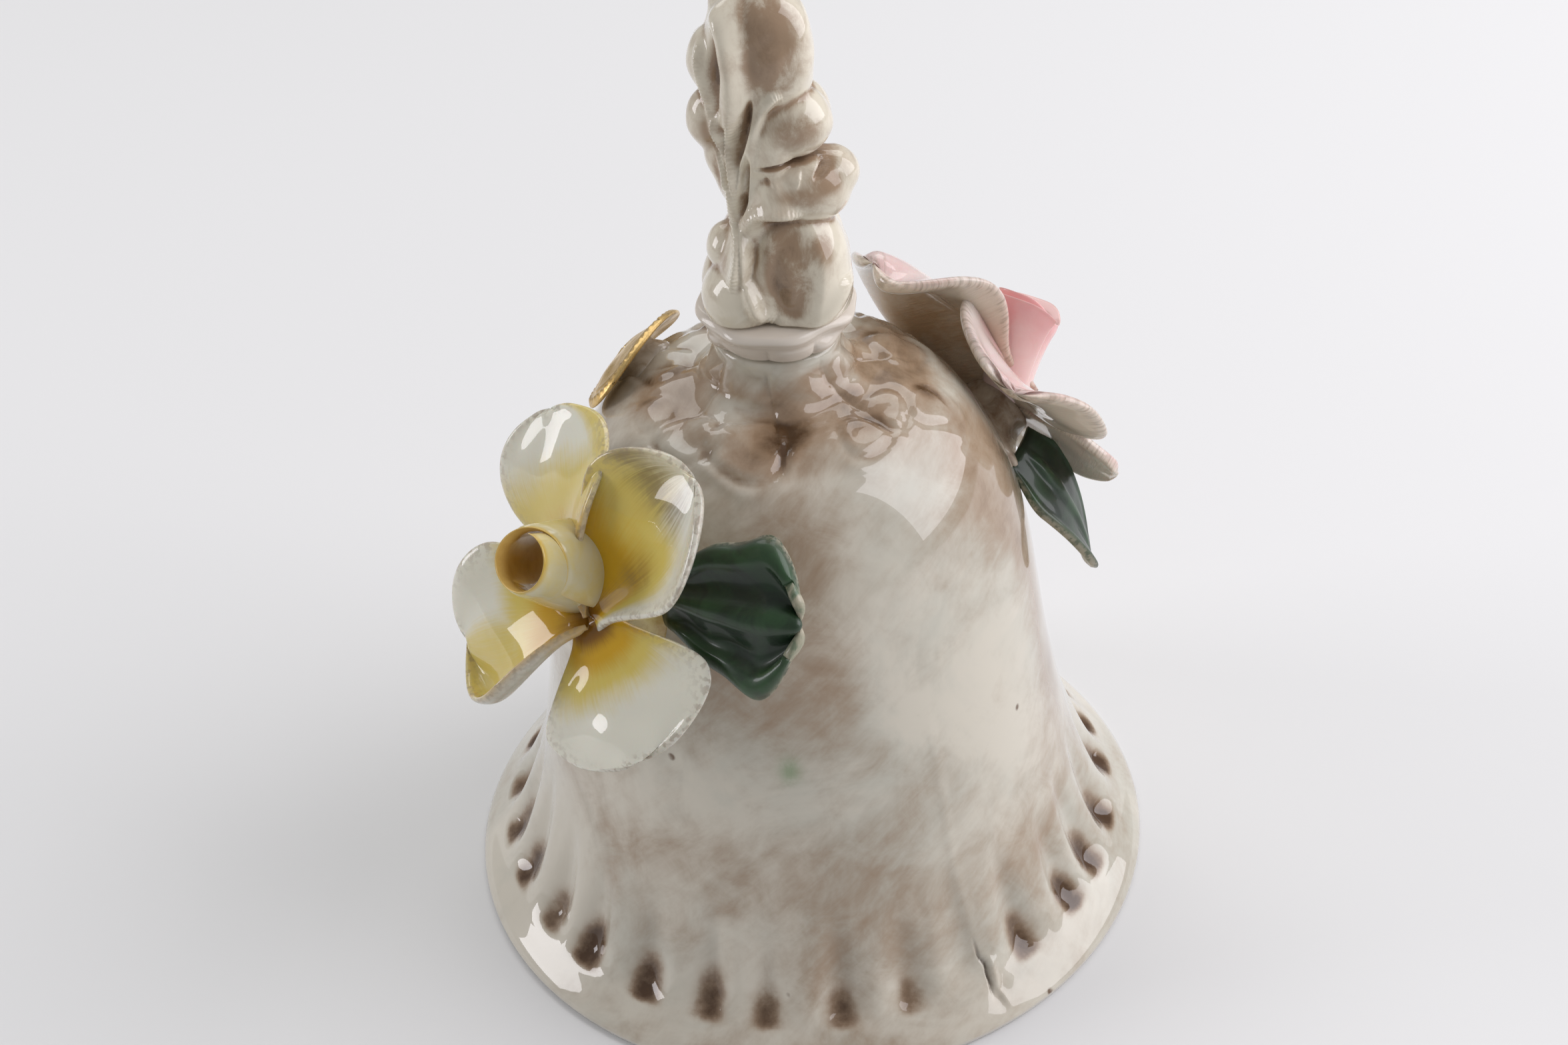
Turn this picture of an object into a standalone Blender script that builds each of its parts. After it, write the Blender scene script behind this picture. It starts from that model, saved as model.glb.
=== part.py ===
"""Porcelain hand bell with applied frangipani flowers, a scroll handle and a hung clapper.

Metres, +Z up.  The origin is the middle of the circle that the rim stands on.
Azimuth 0 faces -Y and +90 degrees faces +X.
"""
import math

import bmesh
import bpy
import numpy as np
from mathutils import Matrix, Vector

# ---------------------------------------------------------------- driving dimensions
RIM_R = 0.045            # outer radius of the mouth
WALL = 0.0032            # thickness of the cast wall
NECK_R = 0.0074          # neck under the handle
NECK_TOP = 0.0797        # flat top of the neck
CEILING_Z = 0.0682       # flat ceiling inside the crown
CEILING_R = 0.0085
PLUG_R = 0.0050          # plaster plug in the ceiling
PLUG_Z = (0.0650, 0.0706)
HANDLE_TOP = 0.1225      # highest point of the scroll handle
COLLAR_R = 0.0096        # rolled collar between neck and handle
COLLAR_H = 0.0042
GAP = 0.0003             # clearance between pieces that touch

STAPLE_WIRE = 0.0006     # wire radii
RING_WIRE = 0.0005
SHANK_WIRE = 0.00055
STAPLE_HALF = 0.0026     # half the width of the staple
STAPLE_BOTTOM = 0.0591   # centre line of the staple's lowest point
RING_R = 0.0030          # mean radius of the link ring
EYE_R = 0.0022           # mean radius of the clapper's eye
LOOP_PLAY = 0.0001       # clearance where two loops hang in each other
BEAD_R = 0.0070
BEAD_Z = 0.0200          # centre of the clapper bead
BEAD_BORE = 0.0008

PETAL_T = 0.0012         # clay thickness of petals and leaves
FLOWER_R0 = 0.0037       # petals start this far from the flower's centre
STUB_R = 0.0031          # clay stub behind each flower
STUB_SINK = 0.0008       # its top lies this far behind the flower's centre
BUD_RISE = 0.0003        # foot of the rolled bud in front of the centre
YELLOW_CENTRE = (-0.0236, -0.0252, 0.0592)
YELLOW_FACING = (-34.0, 32.0)       # azimuth and elevation of the flower's axis, degrees
PINK_CENTRE = (0.0302, 0.0112, 0.0600)
PINK_FACING = (125.0, 28.0)
PLAQUE_CENTRE = (-0.0194, 0.0102, 0.0713)
PLAQUE_FACING = (-118.0, 42.0)

# Outer profile from the foot of the neck to the rim: radius and height over the rim radius.
SKIRT = ((0.185, 1.690), (0.225, 1.662), (0.325, 1.635), (0.455, 1.552), (0.562, 1.400),
         (0.636, 1.180), (0.682, 0.930), (0.722, 0.680), (0.765, 0.460), (0.815, 0.300),
         (0.872, 0.170), (0.935, 0.090), (0.983, 0.045), (1.000, 0.022), (1.000, 0.000))

for old in list(bpy.data.objects):
    bpy.data.objects.remove(old, do_unlink=True)

PARTS = bpy.data.collections.new("porcelain_bell")
CUTTERS = bpy.data.collections.new("cutters")
bpy.context.scene.collection.children.link(PARTS)
bpy.context.scene.collection.children.link(CUTTERS)


# ---------------------------------------------------------------- helpers
def paint(name, colour, roughness, metallic=0.0):
    """A Principled material."""
    material = bpy.data.materials.new(name)
    material.use_nodes = True
    shader = material.node_tree.nodes["Principled BSDF"]
    shader.inputs["Base Color"].default_value = (*colour, 1.0)
    shader.inputs["Roughness"].default_value = roughness
    shader.inputs["Metallic"].default_value = metallic
    return material


def place(name, data, material, collection=PARTS):
    """Put a mesh or a curve in its collection with its own material."""
    obj = bpy.data.objects.new(name, data)
    collection.objects.link(obj)
    if material is not None:
        data.materials.append(material)
    return obj


def mesh_of(name, bm, smooth=True):
    """Close a bmesh into a mesh that is shaded smooth up to its sharp edges."""
    data = bpy.data.meshes.new(name)
    bm.to_mesh(data)
    bm.free()
    if smooth:
        data.shade_smooth()
        data.set_sharp_from_angle(angle=math.radians(40))
    return data


def facing(azimuth, elevation):
    """Sideways, upward and outward unit vectors of a piece that faces that way."""
    a, e = math.radians(azimuth), math.radians(elevation)
    out = Vector((math.sin(a) * math.cos(e), -math.cos(a) * math.cos(e), math.sin(e)))
    side = Vector((math.cos(a), math.sin(a), 0.0))
    return side, out.cross(side), out


def turned(name, profile, material, steps=40, collection=PARTS):
    """Revolve a profile that runs down its outer side; its ends lie on the axis."""
    bm = bmesh.new()
    rows = [bm.verts.new((r, 0.0, z)) for r, z in profile]
    for first, second in zip(rows, rows[1:]):
        bm.edges.new((first, second))
    obj = place(name, mesh_of(name, bm, smooth=False), material, collection)
    screw = obj.modifiers.new("turn", 'SCREW')
    screw.steps = steps
    screw.render_steps = steps
    screw.use_merge_vertices = True
    screw.merge_threshold = 0.00001
    screw.use_smooth_shade = True
    return obj


def skirt_profile(offset=0.0):
    """The outer profile in metres, moved outwards along its own normal."""
    points = np.array(SKIRT) * RIM_R
    run = np.gradient(points, axis=0)
    normal = np.stack([-run[:, 1], run[:, 0]], axis=1)
    normal /= np.linalg.norm(normal, axis=1)[:, None]
    return points + normal * offset


def wire(name, points, radius, material, resolution=2):
    """A round wire with flat ends along a list of points."""
    data = bpy.data.curves.new(name, 'CURVE')
    data.dimensions = '3D'
    spline = data.splines.new('POLY')
    spline.points.add(len(points) - 1)
    for vertex, point in zip(spline.points, points):
        vertex.co = (*point, 1.0)
    data.bevel_depth = radius
    data.bevel_resolution = resolution
    data.use_fill_caps = True
    return place(name, data, material)


def cut(obj, cutter):
    """Take the cutter's shape out of a part."""
    boolean = obj.modifiers.new("cut_by_" + cutter.name, 'BOOLEAN')
    boolean.operation = 'DIFFERENCE'
    boolean.object = cutter
    cutter.hide_render = True
    cutter.display_type = 'WIRE'


# ---------------------------------------------------------------- cast body, collar and handle
def cast_body():
    """Slip-cast skirt, shoulder and neck in one hollow piece with a recess in its ceiling."""
    outer = [(0.0, NECK_TOP), (NECK_R, NECK_TOP), (NECK_R, 0.0775)]
    outer += [(r, z) for r, z in skirt_profile()]
    inner = skirt_profile(-WALL)
    inner = [(r, z) for r, z in inner if 0.003 < z < CEILING_Z - 0.001]
    inner.reverse()
    foot = [(RIM_R - WALL, 0.0)]
    recess = PLUG_R + GAP
    ceiling = [(CEILING_R, CEILING_Z), (recess, CEILING_Z),
               (recess, PLUG_Z[1] + GAP), (0.0, PLUG_Z[1] + GAP)]
    material = paint("glazed_body", (0.74, 0.70, 0.64), 0.12)
    return turned("bell_body", outer + foot + inner + ceiling, material)


def cast_collar():
    """Rolled collar that the handle sits on: a flat ring with two round beads."""
    low = NECK_TOP + GAP
    profile = [(0.0, low + COLLAR_H)]
    for part in range(9):
        angle = math.radians(90.0 - 22.5 * part)
        profile.append((COLLAR_R - 0.0021 + 0.0021 * math.cos(angle),
                        low + COLLAR_H / 2 + COLLAR_H / 2 * math.sin(angle)))
    profile.append((0.0, low))
    return turned("handle_collar", profile, paint("glazed_collar", (0.70, 0.64, 0.56), 0.12), 24)


def handle_radius(angle, height):
    """Radius of the pressed scroll handle.

    A waisted baluster that carries rounded lobes; each lobe is a bump in angle and height
    (azimuth in degrees, height from 0 at the collar to 1 at the top, widths, swell).
    """
    lobes = ((0.0, 0.86, 75.0, 0.15, 0.0012), (70.0, 0.60, 45.0, 0.10, 0.0030),
             (75.0, 0.40, 40.0, 0.07, 0.0046), (35.0, 0.17, 55.0, 0.15, 0.0022),
             (-80.0, 0.70, 40.0, 0.10, 0.0022), (-85.0, 0.20, 45.0, 0.08, 0.0016),
             (180.0, 0.62, 50.0, 0.12, 0.0018), (180.0, 0.20, 60.0, 0.14, 0.0020))
    core = 0.0058 - 0.0016 * math.exp(-((height - 0.36) / 0.16) ** 2) + 0.0010 * (1.0 - height)
    radius = core
    for centre, level, wide, tall, swell in lobes:
        turn = (angle - centre + 180.0) % 360.0 - 180.0
        radius += swell * math.exp(-(turn / wide) ** 2 - ((height - level) / tall) ** 2)
    crown = max(0.0, (height - 0.86) / 0.14)
    foot = max(0.0, (0.06 - height) / 0.06)
    return radius * math.sqrt(max(0.0, 1.0 - crown ** 2)) * (1.0 - 0.12 * foot ** 2)


def cast_handle():
    """Scroll handle: a turned blank whose surface is pushed out into lobes."""
    low = NECK_TOP + COLLAR_H + 2 * GAP
    tall = HANDLE_TOP - low
    levels = [0.0, 0.05] + [0.05 + 0.81 * k / 14 for k in range(1, 15)]
    levels += [0.86 + 0.14 * math.sin(math.radians(90.0 * k / 5)) for k in range(1, 6)]
    levels.reverse()
    around = 24
    bm = bmesh.new()
    bmesh.ops.create_cone(bm, cap_ends=True, cap_tris=False, segments=around,
                          radius1=0.006, radius2=0.006, depth=tall)
    sides = [e for e in bm.edges if abs(e.verts[0].co.z - e.verts[1].co.z) > tall / 2]
    bmesh.ops.subdivide_edges(bm, edges=sides, cuts=len(levels) - 2, use_grid_fill=True)
    rows = sorted({round(v.co.z, 6) for v in bm.verts}, reverse=True)
    place_of = dict(zip(rows, levels))
    for vertex in bm.verts:
        level = place_of[round(vertex.co.z, 6)]
        azimuth = math.degrees(math.atan2(vertex.co.x, -vertex.co.y))
        radius = max(handle_radius(azimuth, level), 0.0003)
        outward = Vector((vertex.co.x, vertex.co.y, 0.0)).normalized()
        vertex.co = outward * radius + Vector((0.0, 0.0, low + tall * level))
    return place("handle", mesh_of("handle", bm), paint("glazed_handle", (0.68, 0.61, 0.53), 0.12))


# ---------------------------------------------------------------- petals, leaves, buds
def bowed_sheet(name, centre, frame, material, turn, long, half, slopes, cup, tilts=(0.0, 0.0),
                start=FLOWER_R0, base=0.10, widest=0.62, tip=0.12):
    """A petal or a leaf.

    Its centre line leaves the centre in the direction of turn and bends from the first slope to
    the second; each cross section is an arc that cups by cup degrees and is rolled by tilts.
    """
    side, up, out = frame
    rows, columns = 6, 5
    bm = bmesh.new()
    bmesh.ops.create_grid(bm, x_segments=rows - 1, y_segments=columns - 1, size=1.0)
    radial = side * math.cos(math.radians(turn)) + up * math.sin(math.radians(turn))
    across = up * math.cos(math.radians(turn)) - side * math.sin(math.radians(turn))
    for vertex in bm.verts:
        s = (vertex.co.x + 1.0) / 2.0
        t = vertex.co.y
        grid = np.linspace(0.0, s, 24)
        slope = np.radians(slopes[0] + (slopes[1] - slopes[0]) * grid)
        step = s * long / 24
        forward = start + float(np.sum(np.cos(slope))) * step
        rise = float(np.sum(np.sin(slope))) * step
        if s < widest:
            ease = s / widest
            width = base + (1.0 - base) * ease * ease * (3.0 - 2.0 * ease)
        else:
            width = math.sqrt(max(tip ** 2, 1.0 - ((s - widest) / (1.0 - widest)) ** 2))
        width *= half
        roll = math.radians(tilts[0] + (tilts[1] - tilts[0]) * s)
        bend = math.radians(cup) * np.linspace(0.0, t, 12)
        sideways = float(np.mean(np.cos(roll + bend))) * t * width
        lift = float(np.mean(np.sin(roll + bend))) * t * width
        normal = out * math.cos(slope[-1]) - radial * math.sin(slope[-1])
        vertex.co = centre + radial * forward + out * rise + across * sideways + normal * lift
    obj = place(name, mesh_of(name, bm), material)
    skin = obj.modifiers.new("clay", 'SOLIDIFY')
    skin.thickness = PETAL_T
    skin.offset = 0.0
    soft = obj.modifiers.new("soft", 'SUBSURF')
    soft.levels = 1
    soft.render_levels = 1
    return obj


def rolled_bud(name, foot, axis, long, narrow, wide, material):
    """A petal rolled into an open trumpet: a wall turned from narrow to wide radius."""
    wall = 0.0011
    rows = []
    for k in range(7):
        s = 1.0 - k / 6
        rows.append((narrow + (wide - narrow) * s ** 1.2, long * s))
    inside = [(max(r - wall, 0.0006), max(z, 0.0016)) for r, z in reversed(rows)]
    profile = rows + [(0.0, 0.0)]
    profile = [(rows[0][0] - wall / 2, rows[0][1] + wall / 3)] + profile
    profile = [(0.0, 0.0016)] + inside[1:] + profile
    bm = bmesh.new()
    line = [bm.verts.new((r, 0.0, z)) for r, z in profile]
    for first, second in zip(line, line[1:]):
        bm.edges.new((first, second))
    bmesh.ops.spin(bm, geom=bm.verts[:] + bm.edges[:], axis=(0, 0, 1), cent=(0, 0, 0),
                   steps=16, angle=math.tau, use_merge=True)
    bmesh.ops.remove_doubles(bm, verts=bm.verts[:], dist=0.00001)
    bmesh.ops.recalc_face_normals(bm, faces=bm.faces[:])
    aim = Vector(axis).normalized().to_track_quat('Z', 'Y').to_matrix().to_4x4()
    bmesh.ops.transform(bm, matrix=Matrix.Translation(foot) @ aim, verts=bm.verts[:])
    return place(name, mesh_of(name, bm), material)


def clay_stub(name, centre, frame, radius, depth, material, cutter):
    """The pat of clay that fixes a flower or the plaque; the shoulder cuts its back."""
    out = frame[2]
    bm = bmesh.new()
    bmesh.ops.create_cone(bm, cap_ends=True, segments=20, radius1=radius * 1.25,
                          radius2=radius, depth=depth)
    aim = out.to_track_quat('Z', 'Y').to_matrix().to_4x4()
    middle = centre - out * depth / 2
    bmesh.ops.transform(bm, matrix=Matrix.Translation(middle) @ aim, verts=bm.verts[:])
    obj = place(name, mesh_of(name, bm), material)
    cut(obj, cutter)
    return obj


def yellow_flower(cutter):
    """Four open petals, the fifth rolled into a bud, and two leaves."""
    centre = Vector(YELLOW_CENTRE)
    frame = facing(*YELLOW_FACING)
    petals = (("top", 122.0, 22.5, 8.6, (16.0, -18.0), 16.0, (-14.0, -4.0)),
              ("right", 62.0, 20.5, 9.2, (30.0, 4.0), 24.0, (4.0, -10.0)),
              ("bottom", -58.0, 15.5, 9.6, (14.0, 2.0), -6.0, (0.0, 8.0)),
              ("left", 196.0, 18.5, 8.2, (12.0, -34.0), 8.0, (0.0, -12.0)))
    for name, turn, long, half, slopes, cup, tilts in petals:
        clay = paint("yellow_petal_" + name, (0.86, 0.82, 0.58), 0.14)
        bowed_sheet("yellow_petal_" + name, centre, frame, clay, turn, long / 1000, half / 1000,
                    slopes, cup, tilts)
    clay_stub("yellow_flower_base", centre - frame[2] * STUB_SINK, frame, STUB_R, 0.012,
              paint("yellow_stub", (0.80, 0.60, 0.15), 0.2), cutter)
    axis = Vector((-0.50, -0.44, 0.75))
    rolled_bud("yellow_bud", centre + frame[2] * BUD_RISE, axis, 0.0105, 0.0015, 0.0038,
               paint("yellow_roll", (0.86, 0.80, 0.52), 0.14))
    green = (0.05, 0.16, 0.08)
    leaves = (("right", (-0.0140, -0.0275, 0.0568), (-16.0, 20.0), -14.0, 16.5, 8.4, (30.0, 0.0)),
              ("left", (-0.0268, -0.0120, 0.0640), (-72.0, 34.0), 150.0, 11.0, 5.2, (16.0, -6.0)))
    for name, where, faces, turn, long, half, slopes in leaves:
        leaf = bowed_sheet("yellow_leaf_" + name, Vector(where), facing(*faces),
                           paint("leaf_" + name, green, 0.16), turn, long / 1000, half / 1000,
                           slopes, -12.0, start=0.0, base=0.42, widest=0.55)
        cut(leaf, cutter)


def pink_flower(cutter):
    """Four open petals, the fifth rolled into a bud, and two leaves under them."""
    centre = Vector(PINK_CENTRE)
    frame = facing(*PINK_FACING)
    petals = (("inner", 56.0, 21.5, 8.8, (24.0, -16.0), 14.0, (10.0, 0.0)),
              ("front", 118.0, 17.0, 9.4, (24.0, -16.0), 18.0, (-6.0, 6.0)),
              ("outer", 196.0, 16.5, 7.6, (10.0, -6.0), 8.0, (0.0, -6.0)),
              ("rear", 286.0, 16.5, 8.4, (20.0, -10.0), 12.0, (0.0, 0.0)))
    for name, turn, long, half, slopes, cup, tilts in petals:
        clay = paint("pink_petal_" + name, (0.84, 0.66, 0.60), 0.14)
        petal = bowed_sheet("pink_petal_" + name, centre, frame, clay, turn, long / 1000,
                            half / 1000, slopes, cup, tilts)
        cut(petal, cutter)
    clay_stub("pink_flower_base", centre - frame[2] * STUB_SINK, frame, STUB_R, 0.012,
              paint("pink_stub", (0.70, 0.55, 0.50), 0.2), cutter)
    rolled_bud("pink_bud", centre + frame[2] * BUD_RISE, (0.26, 0.52, 0.81), 0.0118, 0.0014, 0.0042,
               paint("pink_roll", (0.84, 0.56, 0.55), 0.14))
    green = (0.04, 0.14, 0.07)
    leaves = (("front", (0.0290, 0.0010, 0.0545), (86.0, 14.0), -98.0, 18.0, 5.4, (30.0, -6.0)),
              ("rear", (0.0215, 0.0215, 0.0540), (140.0, 20.0), -84.0, 15.0, 5.4, (26.0, -6.0)))
    for name, where, faces, turn, long, half, slopes in leaves:
        leaf = bowed_sheet("pink_leaf_" + name, Vector(where), facing(*faces),
                           paint("pink_leaf_paint_" + name, green, 0.16), turn, long / 1000,
                           half / 1000, slopes, -18.0, start=0.0, base=0.45, widest=0.40)
        cut(leaf, cutter)


def gilt_plaque(cutter):
    """Small oval gilt plate, dished to follow the shoulder, on its own pat of clay."""
    centre = Vector(PLAQUE_CENTRE)
    side, up, out = facing(*PLAQUE_FACING)
    bm = bmesh.new()
    bmesh.ops.create_circle(bm, cap_ends=True, cap_tris=True, segments=24, radius=1.0)
    spokes = [e for e in bm.edges if min(v.co.length for v in e.verts) < 0.5]
    bmesh.ops.subdivide_edges(bm, edges=spokes, cuts=2, use_grid_fill=True)
    for vertex in bm.verts:
        x, y = 0.0098 * vertex.co.x, 0.0062 * vertex.co.y
        drop = (x * x / 0.042 + y * y / 0.052)
        vertex.co = centre + side * x + up * y - out * drop
    obj = place("gilt_plaque", mesh_of("gilt_plaque", bm),
                paint("gilt", (0.55, 0.38, 0.14), 0.35, 0.9))
    plate = obj.modifiers.new("plate", 'SOLIDIFY')
    plate.thickness = 0.0008
    plate.offset = 1.0
    clay_stub("plaque_pad", centre - out * 0.0006, (side, up, out), 0.0030, 0.0045,
              paint("plaque_clay", (0.62, 0.55, 0.46), 0.3), cutter)


# ---------------------------------------------------------------- clapper and its hanger
def hanger():
    """Plaster plug with two holes, and the wire staple whose legs stand in them."""
    bm = bmesh.new()
    depth = PLUG_Z[1] - PLUG_Z[0]
    bmesh.ops.create_cone(bm, cap_ends=True, segments=28, radius1=PLUG_R, radius2=PLUG_R,
                          depth=depth)
    bmesh.ops.translate(bm, vec=(0.0, 0.0, sum(PLUG_Z) / 2), verts=bm.verts[:])
    plug = place("crown_plug", mesh_of("crown_plug", bm), paint("plaster", (0.78, 0.75, 0.70), 0.8))
    leg_top = PLUG_Z[1] - 0.0012
    for sign in (-1, 1):
        bm = bmesh.new()
        bore = STAPLE_WIRE + GAP
        bmesh.ops.create_cone(bm, cap_ends=True, segments=16, radius1=bore, radius2=bore,
                              depth=0.010)
        middle = leg_top + GAP - 0.005
        bmesh.ops.translate(bm, vec=(sign * STAPLE_HALF, 0.0, middle), verts=bm.verts[:])
        cut(plug, place("leg_hole_%d" % (sign + 2), mesh_of("leg_hole", bm), None, CUTTERS))
    bend = STAPLE_BOTTOM + STAPLE_HALF
    points = [(-STAPLE_HALF, 0.0, leg_top), (-STAPLE_HALF, 0.0, (leg_top + bend) / 2)]
    for k in range(13):
        angle = math.radians(180.0 + 15.0 * k)
        points.append((STAPLE_HALF * math.cos(angle), 0.0, bend + STAPLE_HALF * math.sin(angle)))
    points += [(STAPLE_HALF, 0.0, (leg_top + bend) / 2), (STAPLE_HALF, 0.0, leg_top)]
    wire("hanger_staple", points, STAPLE_WIRE, paint("steel_wire", (0.45, 0.43, 0.40), 0.4, 1.0))


def link_ring():
    """Closed ring through the staple; its origin is where it hangs."""
    top = STAPLE_BOTTOM + STAPLE_WIRE + RING_WIRE + LOOP_PLAY
    centre = Vector((0.0, 0.0, top - RING_R))
    bpy.ops.mesh.primitive_torus_add(major_radius=RING_R, minor_radius=RING_WIRE,
                                     major_segments=28, minor_segments=8, location=(0, 0, 0))
    ring = bpy.context.object
    ring.name = "link_ring"
    ring.data.materials.append(paint("brass_wire", (0.60, 0.45, 0.22), 0.35, 1.0))
    stand = Matrix.Rotation(math.radians(90), 4, 'Y')
    ring.data.transform(Matrix.Translation(centre - Vector((0, 0, STAPLE_BOTTOM))) @ stand)
    ring.data.shade_smooth()
    ring.location = (0.0, 0.0, STAPLE_BOTTOM)
    for collection in list(ring.users_collection):
        collection.objects.unlink(ring)
    PARTS.objects.link(ring)
    return centre.z - RING_R


def clapper(pivot):
    """Wire with an eye on the ring, a bead threaded on it, and a curl that keeps the bead."""
    eye = pivot + RING_WIRE + SHANK_WIRE + LOOP_PLAY - EYE_R
    points = []
    for k in range(19):
        angle = math.radians(-42.0 + 16.0 * k)
        points.append((EYE_R * math.cos(angle), 0.0, eye + EYE_R * math.sin(angle)))
    points += [(-0.0004, 0.0, eye - EYE_R - 0.0006), (0.0, 0.0, eye - EYE_R - 0.0016)]
    curl_r = 0.0011
    curl_z = BEAD_Z - BEAD_R - 0.0019
    points.append((0.0, 0.0, (eye + curl_z) / 2))
    for k in range(13):
        angle = math.radians(180.0 + 18.0 * k)
        points.append((curl_r + curl_r * math.cos(angle), 0.0, curl_z + curl_r * math.sin(angle)))
    points = [(x, y, z - pivot) for x, y, z in points]
    shank = wire("clapper_wire", points, SHANK_WIRE,
                 paint("clapper_steel", (0.45, 0.43, 0.40), 0.4, 1.0))
    shank.location = (0.0, 0.0, pivot)
    profile = []
    low = math.asin(BEAD_BORE / BEAD_R)
    for k in range(13):
        angle = low + (math.pi - 2 * low) * k / 12
        profile.append((BEAD_R * math.sin(angle), BEAD_R * math.cos(angle)))
    bm = bmesh.new()
    line = [bm.verts.new((r, 0.0, z)) for r, z in profile]
    for first, second in zip(line, line[1:] + line[:1]):
        bm.edges.new((first, second))
    bmesh.ops.spin(bm, geom=bm.verts[:] + bm.edges[:], axis=(0, 0, 1), cent=(0, 0, 0),
                   steps=24, angle=math.tau, use_merge=True)
    bmesh.ops.remove_doubles(bm, verts=bm.verts[:], dist=0.00001)
    bmesh.ops.recalc_face_normals(bm, faces=bm.faces[:])
    bead = place("clapper_bead", mesh_of("clapper_bead", bm),
                 paint("bead_glaze", (0.82, 0.78, 0.70), 0.15))
    bead.location = (0.0, 0.0, BEAD_Z)


shoulder = [(0.0, 0.0740)] + [(r, z) for r, z in skirt_profile(GAP)]
shoulder = shoulder[:1] + [(shoulder[1][0], 0.0740)] + shoulder[2:] + [(0.0, 0.0)]
shoulder_cutter = turned("shoulder_cutter", shoulder, None, 40, CUTTERS)
shoulder_cutter.hide_render = True
shoulder_cutter.display_type = 'WIRE'

cast_body()
cast_collar()
cast_handle()
yellow_flower(shoulder_cutter)
pink_flower(shoulder_cutter)
gilt_plaque(shoulder_cutter)
hanger()
clapper(link_ring())
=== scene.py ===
import math

import bpy
import numpy as np
from mathutils import Matrix, Vector


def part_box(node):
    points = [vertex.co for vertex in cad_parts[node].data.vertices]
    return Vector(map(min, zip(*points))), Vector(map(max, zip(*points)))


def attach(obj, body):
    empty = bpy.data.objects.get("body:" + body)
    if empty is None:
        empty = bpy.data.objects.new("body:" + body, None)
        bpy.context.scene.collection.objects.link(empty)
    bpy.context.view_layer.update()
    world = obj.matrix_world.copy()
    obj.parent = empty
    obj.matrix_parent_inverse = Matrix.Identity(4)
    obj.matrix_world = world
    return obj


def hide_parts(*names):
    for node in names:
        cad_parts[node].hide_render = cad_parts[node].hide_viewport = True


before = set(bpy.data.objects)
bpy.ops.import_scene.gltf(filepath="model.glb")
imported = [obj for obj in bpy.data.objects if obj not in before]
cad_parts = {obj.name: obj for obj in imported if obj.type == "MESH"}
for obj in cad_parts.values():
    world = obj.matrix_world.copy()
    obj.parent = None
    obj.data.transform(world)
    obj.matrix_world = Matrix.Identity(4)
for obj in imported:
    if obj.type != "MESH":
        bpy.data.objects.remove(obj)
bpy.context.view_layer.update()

# ---------------------------------------------------------------- dimensions, metres
MM = 0.001
BODY_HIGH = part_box("bell_body")[1]
RIM_R = BODY_HIGH.x
NECK_TOP = BODY_HIGH.z
COLLAR_LOW, COLLAR_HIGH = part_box("handle_collar")
HANDLE_LOW, HANDLE_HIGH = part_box("handle")
PLUG_LOW, PLUG_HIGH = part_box("crown_plug")
RING_LOW, RING_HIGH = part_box("link_ring")
BEAD_LOW, BEAD_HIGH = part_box("clapper_bead")
STAPLE_LOW, STAPLE_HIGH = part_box("hanger_staple")
WIRE_LOW, WIRE_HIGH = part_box("clapper_wire")

WALL = 3.2 * MM
NECK_R = 7.4 * MM
CEILING_Z = 68.2 * MM
CEILING_R = 8.5 * MM
BODY_COLUMNS = 400
BODY_ROWS = 176
INNER_ROWS = 44
GLAZE_IOR = 1.5

# Outer profile from the neck's foot to the rim: radius and height over the rim radius.
SKIRT = ((0.186, 1.690), (0.206, 1.655), (0.245, 1.634), (0.325, 1.620), (0.455, 1.552), (0.562, 1.400),
         (0.636, 1.180), (0.682, 0.930), (0.722, 0.680), (0.765, 0.460), (0.815, 0.300),
         (0.872, 0.170), (0.935, 0.090), (0.983, 0.045), (1.000, 0.022))


# ---------------------------------------------------------------- number helpers
def smoothstep(x):
    """Eases from 0 to 1: x squared times (3 minus 2x), clipped."""
    x = np.clip(x, 0.0, 1.0)
    return x * x * (3.0 - 2.0 * x)


def bump(x):
    """Bell curve, e to the minus x squared."""
    return np.exp(-np.square(x))


def smooth_line(points, count):
    """Catmull-Rom curve through the points, sampled at even steps of its arc length."""
    points = np.asarray(points, float)
    ends = np.vstack([2 * points[0] - points[1], points, 2 * points[-1] - points[-2]])
    t = np.linspace(0.0, len(points) - 1.0, 40 * len(points))
    k = np.minimum(t.astype(int), len(points) - 2)
    f = (t - k)[:, None]
    a, b, c, d = ends[k], ends[k + 1], ends[k + 2], ends[k + 3]
    dense = 0.5 * (2 * b + (c - a) * f + (2 * a - 5 * b + 4 * c - d) * f ** 2
                   + (3 * b - a - 3 * c + d) * f ** 3)
    run = np.concatenate([[0.0], np.cumsum(np.linalg.norm(np.diff(dense, axis=0), axis=1))])
    even = np.linspace(0.0, run[-1], count)
    return np.stack([np.interp(even, run, column) for column in dense.T], axis=1)


def wrap(angle):
    """Angle in degrees brought to between -180 and 180."""
    return (angle + 180.0) % 360.0 - 180.0


def ripple(a, b, seed, waves=7, low=1.0, high=4.0):
    """Soft uneven field: a sum of sine waves in a (radians, whole turns) and b."""
    rng = np.random.default_rng(seed)
    total = np.zeros(np.broadcast(a, b).shape)
    for _ in range(waves):
        turns = rng.integers(int(low), int(high) + 1)
        total += np.sin(turns * a + rng.uniform(-high, high) * b + rng.uniform(0, 6.28))
    return total / math.sqrt(waves)


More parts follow.
